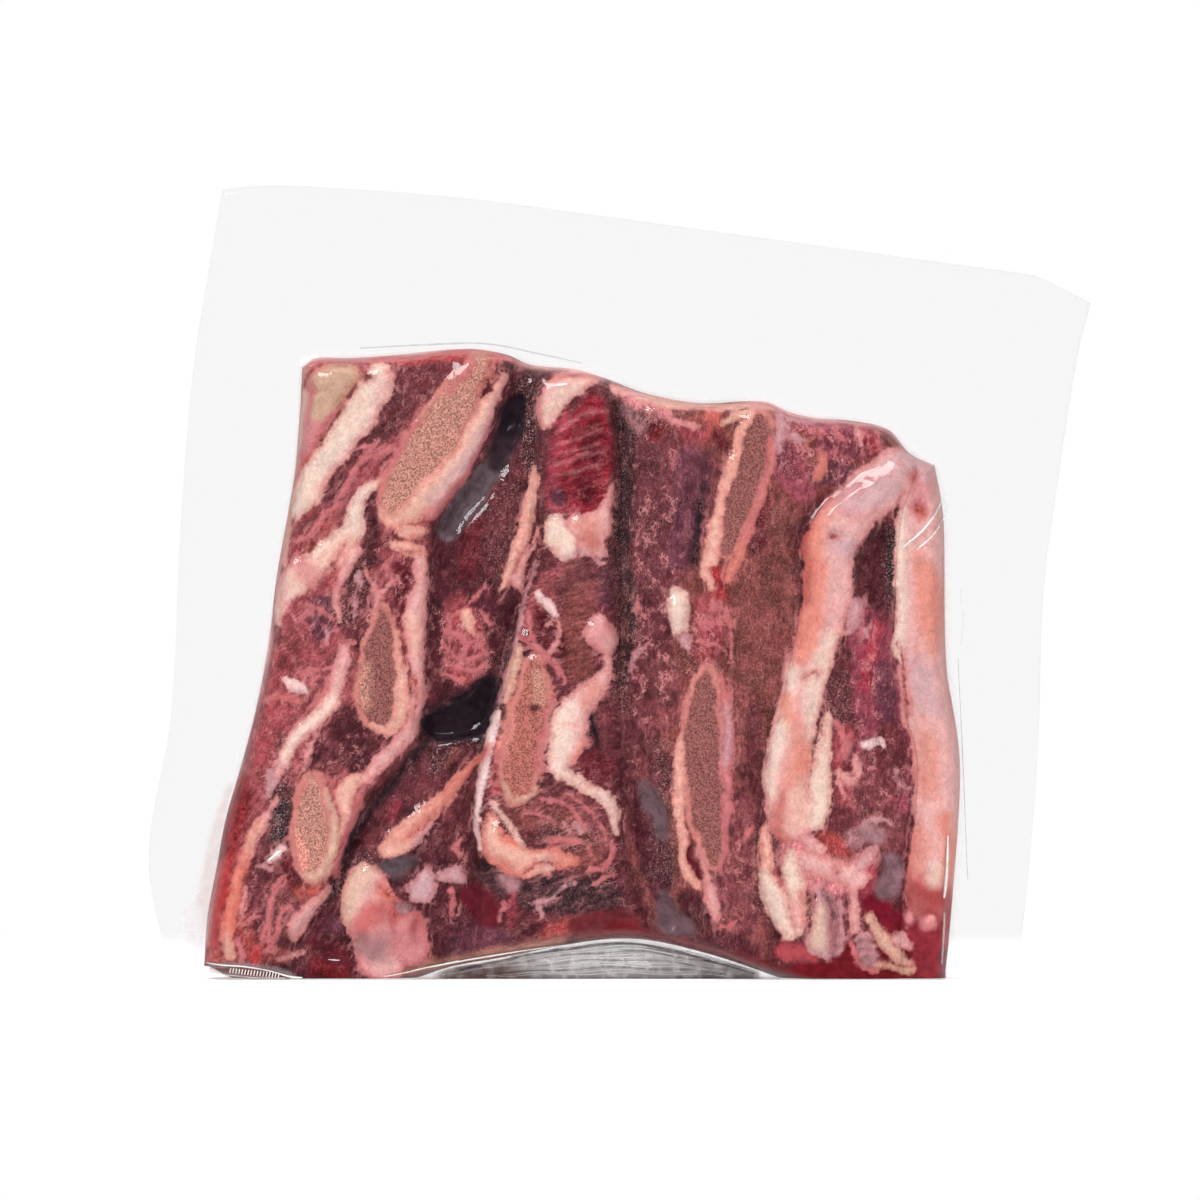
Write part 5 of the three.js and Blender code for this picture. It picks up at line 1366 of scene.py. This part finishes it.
def film_columns():
    """The film's columns from the pouch's left edge to its right edge, as a function x(z)."""
    left = 1 - np.linspace(1, 0, MARGIN_COLUMNS, endpoint=False) ** MARGIN_CROWDING
    block = spaced(BLOCK_WIDTH, FILM_PITCH, EDGE_ROUND, EDGE_ROUND)
    right = np.linspace(0, 1, MARGIN_COLUMNS + 1)[1:] ** MARGIN_CROWDING
    share = np.concatenate([left, block, right])
    zone = np.repeat([0, 1, 2], [len(left), len(block), len(right)])

    def column(z):
        start, end = border_lines[0](z), border_lines[-1](z)
        from_x = np.choose(zone, [pouch_left(z), start, end])
        to_x = np.choose(zone, [start, end, pouch_right(z)])
        return from_x + share * (to_x - from_x)

    return column


def film_grid():
    """Grid of points (x, z) over the pouch, with closer rows and columns at the block's outline."""
    column = film_columns()
    foot = crossing(column, block_foot(WEB_LOW), FOOT_HEIGHTS)
    head = crossing(column, block_top, HEAD_HEIGHTS)
    rim = crossing(column, pouch_top, RIM_HEIGHTS)
    in_web = np.linspace(0, 1, WEB_ROWS, endpoint=False)[:, None]
    in_block = spaced(BLOCK_HEIGHT, FILM_PITCH, EDGE_ROUND, EDGE_ROUND)[:, None]
    in_top = np.linspace(0, 1, TOP_ROWS + 1)[1:, None] ** TOP_CROWDING
    z = np.vstack([in_web * foot, foot + in_block * (head - foot), head + in_top * (rim - head)])
    return column(z), z


def spread_cells(height, cells, choose):
    """Highest or lowest value within a round patch of mesh cells."""
    rows, columns = height.shape
    padded = np.pad(height, cells, mode="edge")
    result = height
    for up in range(-cells, cells + 1):
        for right in range(-cells, cells + 1):
            if up * up + right * right <= cells * cells + 1:
                part = padded[cells + up:cells + up + rows, cells + right:cells + right + columns]
                result = choose(result, part)
    return result


def softened(height, passes):
    """A grid of heights after a few passes of averaging with its neighbours."""
    for _ in range(passes):
        padded = np.pad(height, 1, mode="edge")
        sides = padded[:-2, 1:-1] + padded[2:, 1:-1] + padded[1:-1, :-2] + padded[1:-1, 2:]
        height = 0.5 * height + 0.125 * sides
    return height


def margin_wave(x, z, inside):
    """How far the free margin bends out of the flat."""
    reach = smooth_step(MARGIN_START, MARGIN_FULL, -inside)
    wave = sum(share * np.sin(x / in_x + z / in_z + start) for share, in_x, in_z, start in MARGIN_WAVES)
    lump, height = MARGIN_RIPPLE
    return reach * (MARGIN_WAVE * wave + height * noise(x, z, lump, SEEDS["margin"]))


def film_depth(x, z, inside, face):
    """Half-depth of one sheet of film over the meat, and beside it."""
    paint = Paint(x.ravel(), z.ravel(), inside.ravel(), "meat", face)
    under = inside.ravel() + FILM_GAP
    meat = meat_depth(x.ravel(), z.ravel(), under, paint.fat, paint.bone, face)
    meat = np.where(under > 0, meat, 0).reshape(x.shape)
    bridged = spread_cells(spread_cells(meat, CLOSING_CELLS, np.maximum), CLOSING_CELLS, np.minimum)
    over_meat = np.maximum(softened(bridged, SOFTENING), meat) + FILM_GAP
    edge = EDGE_HALF_DEPTH + FILM_GAP
    beside = SHEET_HALF_GAP + (edge - SHEET_HALF_GAP) * np.exp(np.minimum(inside, 0) / TENT_REACH)
    return np.where(inside > 0, np.maximum(over_meat, beside), beside)


def web_haze_and_shadow(x, z):
    """The web under the arch: where it is, how hazy one sheet of it is, and its colour, which is painted
    shadow of the shaded floor under the pack seen through crumpled film.
    """
    left, right = WEB_REACH
    span = smooth_step(left, left + WEB_FADE[0], x) * smooth_step(right, right - WEB_FADE[1], x)
    web = span * smooth_step(*WEB_EDGE, block_underside(x) - z) * (z < WEB_ROOF)
    middle, ends = WEB_HAZE_AND_SHADOW
    strength = (middle + smooth_step(*WEB_ENDS, abs(x - WEB_MIDDLE)) * (ends - middle)) * web
    height = np.clip(z / np.maximum(block_underside(x), 1), 0, 1)
    # painted shade: the web is darker at its top and its foot, lightest half-way up
    bright = 4 * height * (1 - height)
    shade = linear("film_shade") + bright[:, None] * (linear("film_shadow_grey") - linear("film_shade"))
    shade += smooth_step(*WEB_BROWN, x)[:, None] * (linear("film_brown") - shade)
    return web, strength, shade


def film_haze_and_painted_light(x, z, inside):
    """Strength and colour of the milky layer in one sheet: painted sheen beside the block, painted shadow in
    the web, and patches.
    """
    tones = np.tile(linear("film_white_and_sheen"), (len(x), 1))
    # painted sheen of the film beside the block
    halo = SHEEN_HALO["strength"] * smooth_step(*SHEEN_HALO["outer"], inside) * smooth_step(*SHEEN_HALO["inner"], inside)
    web, web_strength, shade = web_haze_and_shadow(x, z)
    strength = np.maximum(halo, web_strength)
    tones += web[:, None] * (shade - tones)
    for amount, tone, *paths in FILM_HAZE:
        for path in paths:
            share = smooth_step(*HAZE_EDGE, stroke_inside(path, x, z, PATCH_REACH))
            strength = np.maximum(strength, amount * share)
            tones += share[:, None] * (linear(tone) - tones)
    return strength, tones


def make_film():
    """The pouch: a front and a back sheet, which share one outline."""
    x, z = film_grid()
    inside = depth_inside(x.ravel(), z.ravel()).reshape(x.shape)
    wave = margin_wave(x, z, inside)
    front = wave - film_depth(x, z, inside, 0)
    back = wave + film_depth(x, z, inside, 1)
    piece = closed_piece("film_pouch", x, z, front, back)
    haze_and_painted_light, tones = film_haze_and_painted_light(x.ravel(), z.ravel(), inside.ravel())
    add_values(piece, "haze_and_painted_light", np.tile(haze_and_painted_light, 2))
    add_values(piece, "haze_and_painted_light_tone", np.tile(tones, (2, 1)))
    return piece


# ---------------------------------------------------------------------------
# The creases: thin raised lines, each a closed tube with three sides
# ---------------------------------------------------------------------------

TUBE_MAP = 0.96  # width of a crease's sides within the UV map
END_MAP = (0.965, 0.985)  # left edges of its two ends there
END_SIZE = (0.01, 0.5)  # their width, and their height as a share of the crease's row
CELL_FILL = (0.9, 0.8)  # share of a cell of the UV map that a face takes, so that none touch


def arch_folds():
    """The bent folds of the web, each at its own share of the arch's height, by turns in painted highlight
    and painted shade.
    """
    length, ripple = ARCH_RIPPLE
    shift_turn, ripple_turn = ARCH_TURNS
    taper = ARCH_HALF_WIDTH * np.sin(np.linspace(ARCH_BLUNT, math.pi - ARCH_BLUNT, ARCH_POINTS))
    for number, lift in enumerate(ARCH_LIFTS):
        x = np.linspace(*ARCH_SPAN, ARCH_POINTS) + ARCH_SHIFT * math.sin(shift_turn * number)
        z = block_underside(x) * lift + ripple * np.sin(x / length + ripple_turn * lift)
        path = np.column_stack([x, np.maximum(z, ARCH_FOOT), taper]).ravel()
        yield (*ARCH_LOOKS[number % len(ARCH_LOOKS)], path)


def weld_ribs():
    """The short leaning ribs of the weld, in painted highlight."""
    half, lean, rise = RIBS["half_width"], RIBS["lean"], RIBS["rise"]
    for x, z in zip(np.linspace(*RIBS["x"], RIBS["count"]), np.linspace(*RIBS["z"], RIBS["count"])):
        yield (*RIB_LOOK, (x - lean, z - rise, half, x + lean, z + rise, half))


def crease_paths():
    """Every crease of the film as (tone, strength, path)."""
    drawn = [(tone, strength, path) for tone, strength, *paths in CREASES for path in paths]
    return [*drawn, *arch_folds(), *weld_ribs()]


def crease_rings(path, surface):
    """Three points for each step of a crease: its two edges, and its crest between them."""
    chain = swept_steps(path)
    run = np.gradient(chain[:, :2], axis=0)
    side = np.column_stack([-run[:, 1], run[:, 0]]) / np.hypot(*run.T)[:, None]
    rings = []
    for across, lift in ((-1, CREASE_LIFT[0]), (0, CREASE_LIFT[1]), (1, CREASE_LIFT[0])):
        place = chain[:, :2] + across * chain[:, 2:] * side
        rings.append([(x * MM, surface(x, z) - lift * MM, z * MM) for x, z in place])
    return np.swapaxes(np.array(rings), 0, 1)


def tube_faces(rings, row, height):
    """Faces of a closed tube of three-sided rings, and their corners in one row of the UV map."""
    faces, places = [], []
    for step in range(rings - 1):
        low, high = TUBE_MAP * step / rings, TUBE_MAP * (step + CELL_FILL[0]) / rings
        for side in range(3):
            a, b = 3 * step + side, 3 * step + (side + 1) % 3
            bottom, top = (row + side / 3) * height, (row + (side + CELL_FILL[1]) / 3) * height
            faces.append((b, a, a + 3, b + 3))
            places.extend([(low, top), (low, bottom), (high, bottom), (high, top)])
    last = 3 * (rings - 1)
    bottom, top = row * height, (row + END_SIZE[1]) * height
    for left, end in zip(END_MAP, ((0, 1, 2), (last + 2, last + 1, last))):
        faces.append(end)
        places.extend([(left, bottom), (left + END_SIZE[0], bottom), (left, top)])
    return faces, places


def make_creases(film):
    """Thin raised lines on the front sheet, at the film's folds and weld, coloured with painted highlights
    and painted shade.
    """
    corners = [vertex.co for vertex in film.data.vertices]
    sheet = BVHTree.FromPolygons(corners, [face.vertices for face in film.data.polygons])

    def surface(x, z):
        return sheet.ray_cast(Vector((x * MM, -1, z * MM)), Vector((0, 1, 0)))[0].y

    points, faces, map_places, haze_and_painted_light, tones = [], [], [], [], []
    paths = crease_paths()
    for row, (tone, strength, path) in enumerate(paths):
        rings = crease_rings(path, surface)
        tube, places = tube_faces(len(rings), row, 1 / len(paths))
        faces.extend([tuple(len(points) + corner for corner in face) for face in tube])
        map_places.extend(places)
        points.extend(rings.reshape(-1, 3).tolist())
        haze_and_painted_light.extend([0.0, strength, 0.0] * len(rings))
        tones.extend([linear(tone)] * (3 * len(rings)))
    mesh = bpy.data.meshes.new("film_creases")
    mesh.from_pydata(points, [], faces)
    mesh.uv_layers.new(name="OFBake").data.foreach_set("uv", np.array(map_places).ravel())
    piece = placed("film_creases", mesh)
    add_values(piece, "haze_and_painted_light", haze_and_painted_light)
    add_values(piece, "haze_and_painted_light_tone", tones)
    return piece


# ---------------------------------------------------------------------------
# Materials
# ---------------------------------------------------------------------------

MM_PER_METRE = 1000  # the noises' scales are per metre
LEAN_TINT = (0.96, 0.84, 0.87)
MARROW_RED = (0.85, 0.62, 0.62)
FAT_PINK = (0.93, 0.7, 0.69)
FAT_ROSE = (0.86, 0.58, 0.6)
MEAT_ROUGHNESS = 0.5
POOL_ROUGHNESS = 0.2
MEAT_SHEEN = 0.12
BUMP_HEIGHT = 0.4
FILM_CLEARNESS = 0.985
FILM_IOR = 1.38
FILM_MIRROR = 0.11  # the most that the film mirrors, also where it is seen edge-on

# Noises: the size of the lumps in mm, detail and roughness.
LUMPS = {
    "broad": (8.0, 2.0, 0.5), "sinew": (3.5, 2.0, 0.5), "clots": (2.6, 3.0, 0.6),
    "fine": (0.9, 3.0, 0.65), "grit": (0.55, 2.0, 0.85), "wrinkles": (3.2, 2.0, 0.5),
}
# Noises that follow the fibres: the scale per mm across and along them and in depth, detail
# and roughness. Lumps of BEND_SIZE mm bend them, by up to BEND cells of the noise either way.
FIBRES = {
    "lean": ((1.0, 0.28, 0.4), 5.0, 0.75), "streaks": ((0.5, 0.09, 0.2), 3.0, 0.6),
    "folds": ((0.3, 0.07, 0.12), 4.0, 0.6),
}
BEND_SIZE = 4.0
BEND = 1.0
# Threads of fat in the lean: the scale in the same three directions, width, strength.
VEINS = [((0.26, 0.1, 0.15), 0.03, 0.8), ((0.6, 0.25, 0.35), 0.045, 0.5), ((1.0, 0.7, 0.8), 0.05, 0.3)]


class Nodes:
    """Short calls for the shader nodes of one material or of the world."""

    def __init__(self, owner):
        owner.use_nodes = True
        self.owner = owner
        self.tree = owner.node_tree
        self.tree.nodes.clear()
        self.place = self.add("ShaderNodeTexCoord").outputs["Object"]

    def add(self, kind, inputs=None, **settings):
        """New node. Each input is a plain value, or the output of another node to link to."""
        node = self.tree.nodes.new(kind)
        for name, value in settings.items():
            setattr(node, name, value)
        for socket, value in (inputs or {}).items():
            if isinstance(value, bpy.types.NodeSocket):
                self.tree.links.new(value, node.inputs[socket])
            else:
                node.inputs[socket].default_value = value
        return node

    def math(self, operation, *values):
        inputs = dict(enumerate(values))
        return self.add("ShaderNodeMath", inputs, operation=operation).outputs[0]

    def times(self, *values):
        """Product of two numbers or more."""
        product = values[0]
        for value in values[1:]:
            product = self.math("MULTIPLY", product, value)
        return product

    def plus(self, first, second):
        return self.math("ADD", first, second)

    def off(self, value, middle):
        """Distance of a number from a middle value."""
        return self.math("ABSOLUTE", self.math("SUBTRACT", value, middle))

    def step(self, value, low, high, start=0.0, end=1.0):
        """Goes smoothly from `start` to `end` while the value goes from `low` to `high`."""
        inputs = {"Value": value, "From Min": low, "From Max": high, "To Min": start, "To Max": end}
        return self.add("ShaderNodeMapRange", inputs, interpolation_type="SMOOTHSTEP").outputs[0]

    def linear_step(self, value, span, ends):
        """Goes evenly from the first of `ends` to the second while the value crosses `span`."""
        inputs = {"Value": value, "From Min": span[0], "From Max": span[1]}
        return self.add("ShaderNodeMapRange", {**inputs, "To Min": ends[0], "To Max": ends[1]}).outputs[0]

    def mix(self, share, first, second):
        return self.add("ShaderNodeMix", {0: share, 6: first, 7: second}, data_type="RGBA").outputs[2]

    def mix_shaders(self, share, first, second):
        inputs = {0: share, 1: first.outputs[0], 2: second.outputs[0]}
        return self.add("ShaderNodeMixShader", inputs)

    def scaled(self, vector, factor):
        """A vector times a number or, with a tuple, times one number for each axis."""
        if isinstance(factor, tuple):
            node = self.add("ShaderNodeVectorMath", {0: vector, 1: factor}, operation="MULTIPLY")
        else:
            node = self.add("ShaderNodeVectorMath", {0: vector, "Scale": factor}, operation="SCALE")
        return node.outputs[0]

    def added(self, first, second):
        return self.add("ShaderNodeVectorMath", {0: first, 1: second}, operation="ADD").outputs[0]

    def noise(self, vector, scale, detail=2.0, roughness=0.5):
        inputs = {"Vector": vector, "Scale": scale, "Detail": detail, "Roughness": roughness}
        return self.add("ShaderNodeTexNoise", inputs).outputs["Fac"]

    def lumps(self, size, detail, roughness):
        """Noise with lumps about `size` mm across."""
        return self.noise(self.place, MM_PER_METRE / size, detail, roughness)

    def noise_vector(self, size):
        """Noise with a number for each axis, each about 0 in the middle."""
        inputs = {"Vector": self.place, "Scale": MM_PER_METRE / size, "Detail": 1.0}
        shades = self.add("ShaderNodeTexNoise", inputs).outputs["Color"]
        return self.added(shades, (-0.5, -0.5, -0.5))

    def value(self, name, output="Fac"):
        """A value that is stored at the vertices."""
        return self.add("ShaderNodeAttribute", attribute_name=name).outputs[output]

    def bump(self, height, distance, strength):
        inputs = {"Height": height, "Distance": distance, "Strength": strength}
        return self.add("ShaderNodeBump", inputs).outputs[0]

    def finish(self, shader, kind="ShaderNodeOutputMaterial"):
        self.add(kind, {"Surface": shader.outputs[0]})
        return self.owner


def colour(tone):
    return (*linear(tone), 1.0)


def grey(value):
    return (value, value, value, 1.0)


class MeatNodes(Nodes):
    """The nodes of the meat, with the noises that several of its colours share."""

    def __init__(self, owner):
        super().__init__(owner)
        self.grain = self.value("grain", "Vector")
        self.calm = self.value("calm")
        self.ground = self.value("ground", "Color")
        self.fine = self.lumps(*LUMPS["fine"])
        self.clots = self.lumps(*LUMPS["clots"])
        self.grit = self.lumps(*LUMPS["grit"])
        self.bend = self.scaled(self.noise_vector(BEND_SIZE), 2 * BEND)
        self.streaks = self.fibres(*FIBRES["streaks"])

    def fibres(self, scales, detail=2.0, roughness=0.5):
        """Noise that is drawn out along the bent fibres."""
        place = self.added(self.scaled(self.grain, scales), self.bend)
        return self.noise(place, 1.0, detail, roughness)


def lean_colour(n):
    """Lean meat: mottled, with fibres, thin broken veins of fat, and frost."""
    fibres = n.fibres(*FIBRES["lean"])
    lean = n.scaled(n.ground, LEAN_TINT)
    lean = n.scaled(lean, n.step(n.lumps(*LUMPS["broad"]), 0.38, 0.72, 1.16, 0.68))
    mottling = n.times(n.step(n.grit, 0.34, 0.66, 0.68, 1.22), n.step(fibres, 0.32, 0.68, 0.6, 1.34))
    lean = n.scaled(lean, n.times(mottling, n.step(n.clots, 0.3, 0.7, 0.72, 1.22)))

    # pale threads of sinew: level lines of noises, broken up by another noise
    broken = n.step(n.lumps(*LUMPS["sinew"]), 0.48, 0.62)
    marbling = n.step(n.value("marbling"), 0.0, 0.8, 0.2, 1.0)
    for scales, width, strength in VEINS:
        thread = n.step(n.off(n.fibres(scales), 0.5), 0.1 * width, width, strength, 0.0)
        lean = n.mix(n.times(thread, broken, marbling), lean, colour("vein"))
    fleck = n.times(n.step(fibres, 0.55, 0.75), n.step(n.fine, 0.4, 0.7, 0.0, 0.3))
    lean = n.mix(fleck, lean, colour("vein"))

    # frost: dark and white grains, thick where two pieces meet
    frost = n.plus(n.value("frost"), n.step(n.clots, 0.45, 0.75, 0.0, 0.16))
    lean = n.scaled(lean, n.math("SUBTRACT", 1.0, n.times(frost, 0.4)))
    grains = n.times(n.step(n.grit, 0.52, 0.66), n.step(n.fine, 0.4, 0.6, 0.35, 1.0))
    return n.mix(n.times(frost, grains), lean, colour("frost"))


def marrow_colour(n):
    """Spongy bone: dark and light grains, denser in some places than in others."""
    sponge = n.plus(n.times(n.grit, 0.75), n.times(n.fine, 0.25))
    marrow = n.scaled(n.ground, n.step(sponge, 0.41, 0.59, 0.44, 1.33))
    return n.mix(n.step(n.clots, 0.5, 0.75, 0.0, 0.35), marrow, n.scaled(marrow, MARROW_RED))


def fat_colour(n, field):
    """Fat, rind and bone rims: cream in the middle, pink streaks, and rose towards the lean."""
    folds = n.fibres(*FIBRES["folds"])
    fat = n.scaled(n.value("fat_tone", "Color"), n.step(n.fine, 0.3, 0.7, 0.86, 1.0))
    fat = n.mix(n.step(folds, 0.5, 0.66, 0.0, 0.6), fat, n.scaled(fat, FAT_PINK))
    fat = n.scaled(fat, n.step(n.off(folds, 0.45), 0.0, 0.02, 0.8, 1.0))
    fat = n.scaled(fat, n.step(n.clots, 0.3, 0.7, 0.84, 1.0))
    return n.mix(n.step(field, 0.2, 2.4, 0.8, 0.0), fat, n.scaled(fat, FAT_ROSE))


def meat_material():
    """Lean meat, with smooth pools, bone and fat over it where the painted values say so."""
    n = MeatNodes(bpy.data.materials.new("frozen_beef"))
    colours = lean_colour(n)
    halo = n.times(n.step(n.value("fat"), -3.4, 0.0), n.step(n.streaks, 0.48, 0.66, 0.0, 0.55))
    colours = n.mix(halo, colours, colour("vein"))
    colours = n.mix(n.calm, colours, n.scaled(n.ground, n.step(n.clots, 0.3, 0.7, 0.75, 1.25)))

    in_bone = n.step(n.plus(n.value("bone"), n.step(n.fine, 0.2, 0.8, -0.6, 0.6)), -0.9, 0.9)
    colours = n.mix(in_bone, colours, marrow_colour(n))

    ragged = n.plus(n.step(n.fine, 0.2, 0.8, -0.25, 0.25), n.step(n.clots, 0.2, 0.8, -0.4, 0.4))
    ragged = n.plus(ragged, n.step(n.streaks, 0.25, 0.75, -0.22, 0.3))
    field = n.plus(n.value("fat"), ragged)
    colours = n.mix(n.step(field, -0.7, 0.5), colours, fat_colour(n, field))

    relief = n.plus(n.times(n.fine, 0.7), n.times(n.streaks, 0.8))
    relief = n.times(relief, n.step(n.calm, 0.0, 1.0, 1.0, 0.1))
    shader = n.add("ShaderNodeBsdfPrincipled", {
        "Base Color": colours,
        "Roughness": n.mix(n.calm, grey(MEAT_ROUGHNESS), grey(POOL_ROUGHNESS)),
        "Normal": n.bump(relief, BUMP_HEIGHT * MM, 0.7),
        "Specular IOR Level": MEAT_SHEEN,
    })
    return n.finish(shader)


def film_material():
    """Clear film: see-through, mirroring a little, and diffuse where it is hazy and where it carries painted
    sheen, shadow, highlights and shade.
    """
    n = Nodes(bpy.data.materials.new("pouch_film"))
    wrinkles = n.lumps(*LUMPS["wrinkles"])
    normal = n.bump(wrinkles, BUMP_HEIGHT * MM, 0.6)
    clear = n.add("ShaderNodeBsdfTransparent", {"Color": grey(FILM_CLEARNESS)})
    milky_and_painted_light = n.add("ShaderNodeBsdfDiffuse", {"Color": n.value("haze_and_painted_light_tone", "Color")})
    haze_and_painted_light = n.times(n.value("haze_and_painted_light"), n.step(wrinkles, 0.3, 0.6, 0.75, 1.15))
    gloss = n.add("ShaderNodeBsdfGlossy", {"Color": grey(1.0), "Roughness": 0.05, "Normal": normal})
    mirror = n.add("ShaderNodeFresnel", {"IOR": FILM_IOR, "Normal": normal}).outputs[0]
    mirror = n.math("MINIMUM", mirror, FILM_MIRROR)
    return n.finish(n.mix_shaders(mirror, n.mix_shaders(haze_and_painted_light, clear, milky_and_painted_light), gloss))


def dress(piece, material):
    """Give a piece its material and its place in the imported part."""
    piece.data.materials.append(material)
    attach(piece, "root")
    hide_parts("sealed_bag")


meat = meat_material()
for number in range(len(STRIPS)):
    dress(make_strip(number), meat)
pouch = make_film()
clear_film = film_material()
dress(pouch, clear_film)
dress(make_creases(pouch), clear_film)

# ---------------------------------------------------------------------------
# Floor, light and camera
# ---------------------------------------------------------------------------

FLOOR_HALF_WIDTH = 3.0
SHADOW_REACH = (0.22, 0.6)  # the floor takes shadows this near to the pack, in metres
EYE = (-6.2 * MM, -4200 * MM, 118.1 * MM)
LENS = 404.1
SENSOR = 36.0
WORLD_LIGHT = 0.37
FLOOR_GREY = 0.98
FLOOR_GLOW = 0.44
WORLD_GLOSS = (0.02, 0.4)  # mirrored from the camera's side and from behind
WORLD_TURN = (-0.75, 0.3)  # directions along Y between which it goes from one to the other
AIM = (0.0, 0.0, 0.1)
LIGHTS = [  # name, place in metres, size in metres, power in watts
    ("key", (-0.55, -0.75, 0.85), 0.45, 8.8),
    ("fill", (0.75, -0.7, 0.4), 0.4, 3.0),
    ("top", (0.05, -0.05, 1.0), 0.8, 7.0),
]


def make_floor():
    """White ground: it glows like the world, and takes faint shadows close to the pack."""
    bpy.ops.mesh.primitive_plane_add(size=2 * FLOOR_HALF_WIDTH)
    floor = bpy.context.object
    floor.name = "floor"
    n = Nodes(bpy.data.materials.new("floor_paint"))
    matt = n.add("ShaderNodeBsdfDiffuse", {"Color": grey(FLOOR_GREY)})
    faint = n.add("ShaderNodeEmission", {"Color": grey(1.0), "Strength": FLOOR_GLOW})
    near = n.add("ShaderNodeAddShader", {0: matt.outputs[0], 1: faint.outputs[0]})
    glow = n.add("ShaderNodeEmission", {"Color": grey(1.0), "Strength": 1.0})
    away = n.add("ShaderNodeVectorMath", {0: n.place}, operation="LENGTH").outputs["Value"]
    floor.data.materials.append(n.finish(n.mix_shaders(n.step(away, *SHADOW_REACH), near, glow)))
    floor.visible_glossy = False
    floor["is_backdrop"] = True


def make_world():
    """White behind the pack, soft light all round, and little of it mirrored in the film."""
    n = Nodes(bpy.data.worlds.new("studio"))
    ray = n.add("ShaderNodeLightPath").outputs
    way = n.add("ShaderNodeTexCoord").outputs["Generated"]
    back = n.add("ShaderNodeSeparateXYZ", {0: way}).outputs["Y"]
    seen = n.linear_step(ray["Is Camera Ray"], (0.0, 1.0), (WORLD_LIGHT, 1.0))
    mirrored = n.linear_step(back, WORLD_TURN, WORLD_GLOSS)
    light = n.add("ShaderNodeMix", {0: ray["Is Glossy Ray"], 2: seen, 3: mirrored}).outputs[0]
    white = n.add("ShaderNodeBackground", {"Color": grey(1.0), "Strength": light})
    bpy.context.scene.world = n.finish(white, "ShaderNodeOutputWorld")


def aim(thing, place, target):
    """Put a lamp or the camera at a place, looking at a target."""
    thing.location = place
    direction = Vector(target) - Vector(place)
    thing.rotation_euler = direction.to_track_quat("-Z", "Y").to_euler()


def make_lights():
    """Three soft lamps. Only the key light is mirrored in the film."""
    for name, place, size, power in LIGHTS:
        lamp = bpy.data.lights.new(name, "AREA")
        lamp.size = size
        lamp.energy = power
        light = placed(name, lamp)
        light.visible_glossy = name == "key"
        aim(light, place, AIM)


def make_camera():
    """The camera of the photo, straight in front of the pack."""
    lens = bpy.data.cameras.new("camera")
    lens.lens = LENS
    lens.sensor_width = SENSOR
    camera = placed("camera", lens)
    aim(camera, EYE, (EYE[0], 0.0, EYE[2]))
    bpy.context.scene.camera = camera


make_floor()
make_world()
make_lights()
make_camera()
bpy.context.scene.view_settings.view_transform = "Standard"

boxes = {"cad": cad_box, "visual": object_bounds()}
{name: [list(corner) for corner in box] for name, box in boxes.items()}
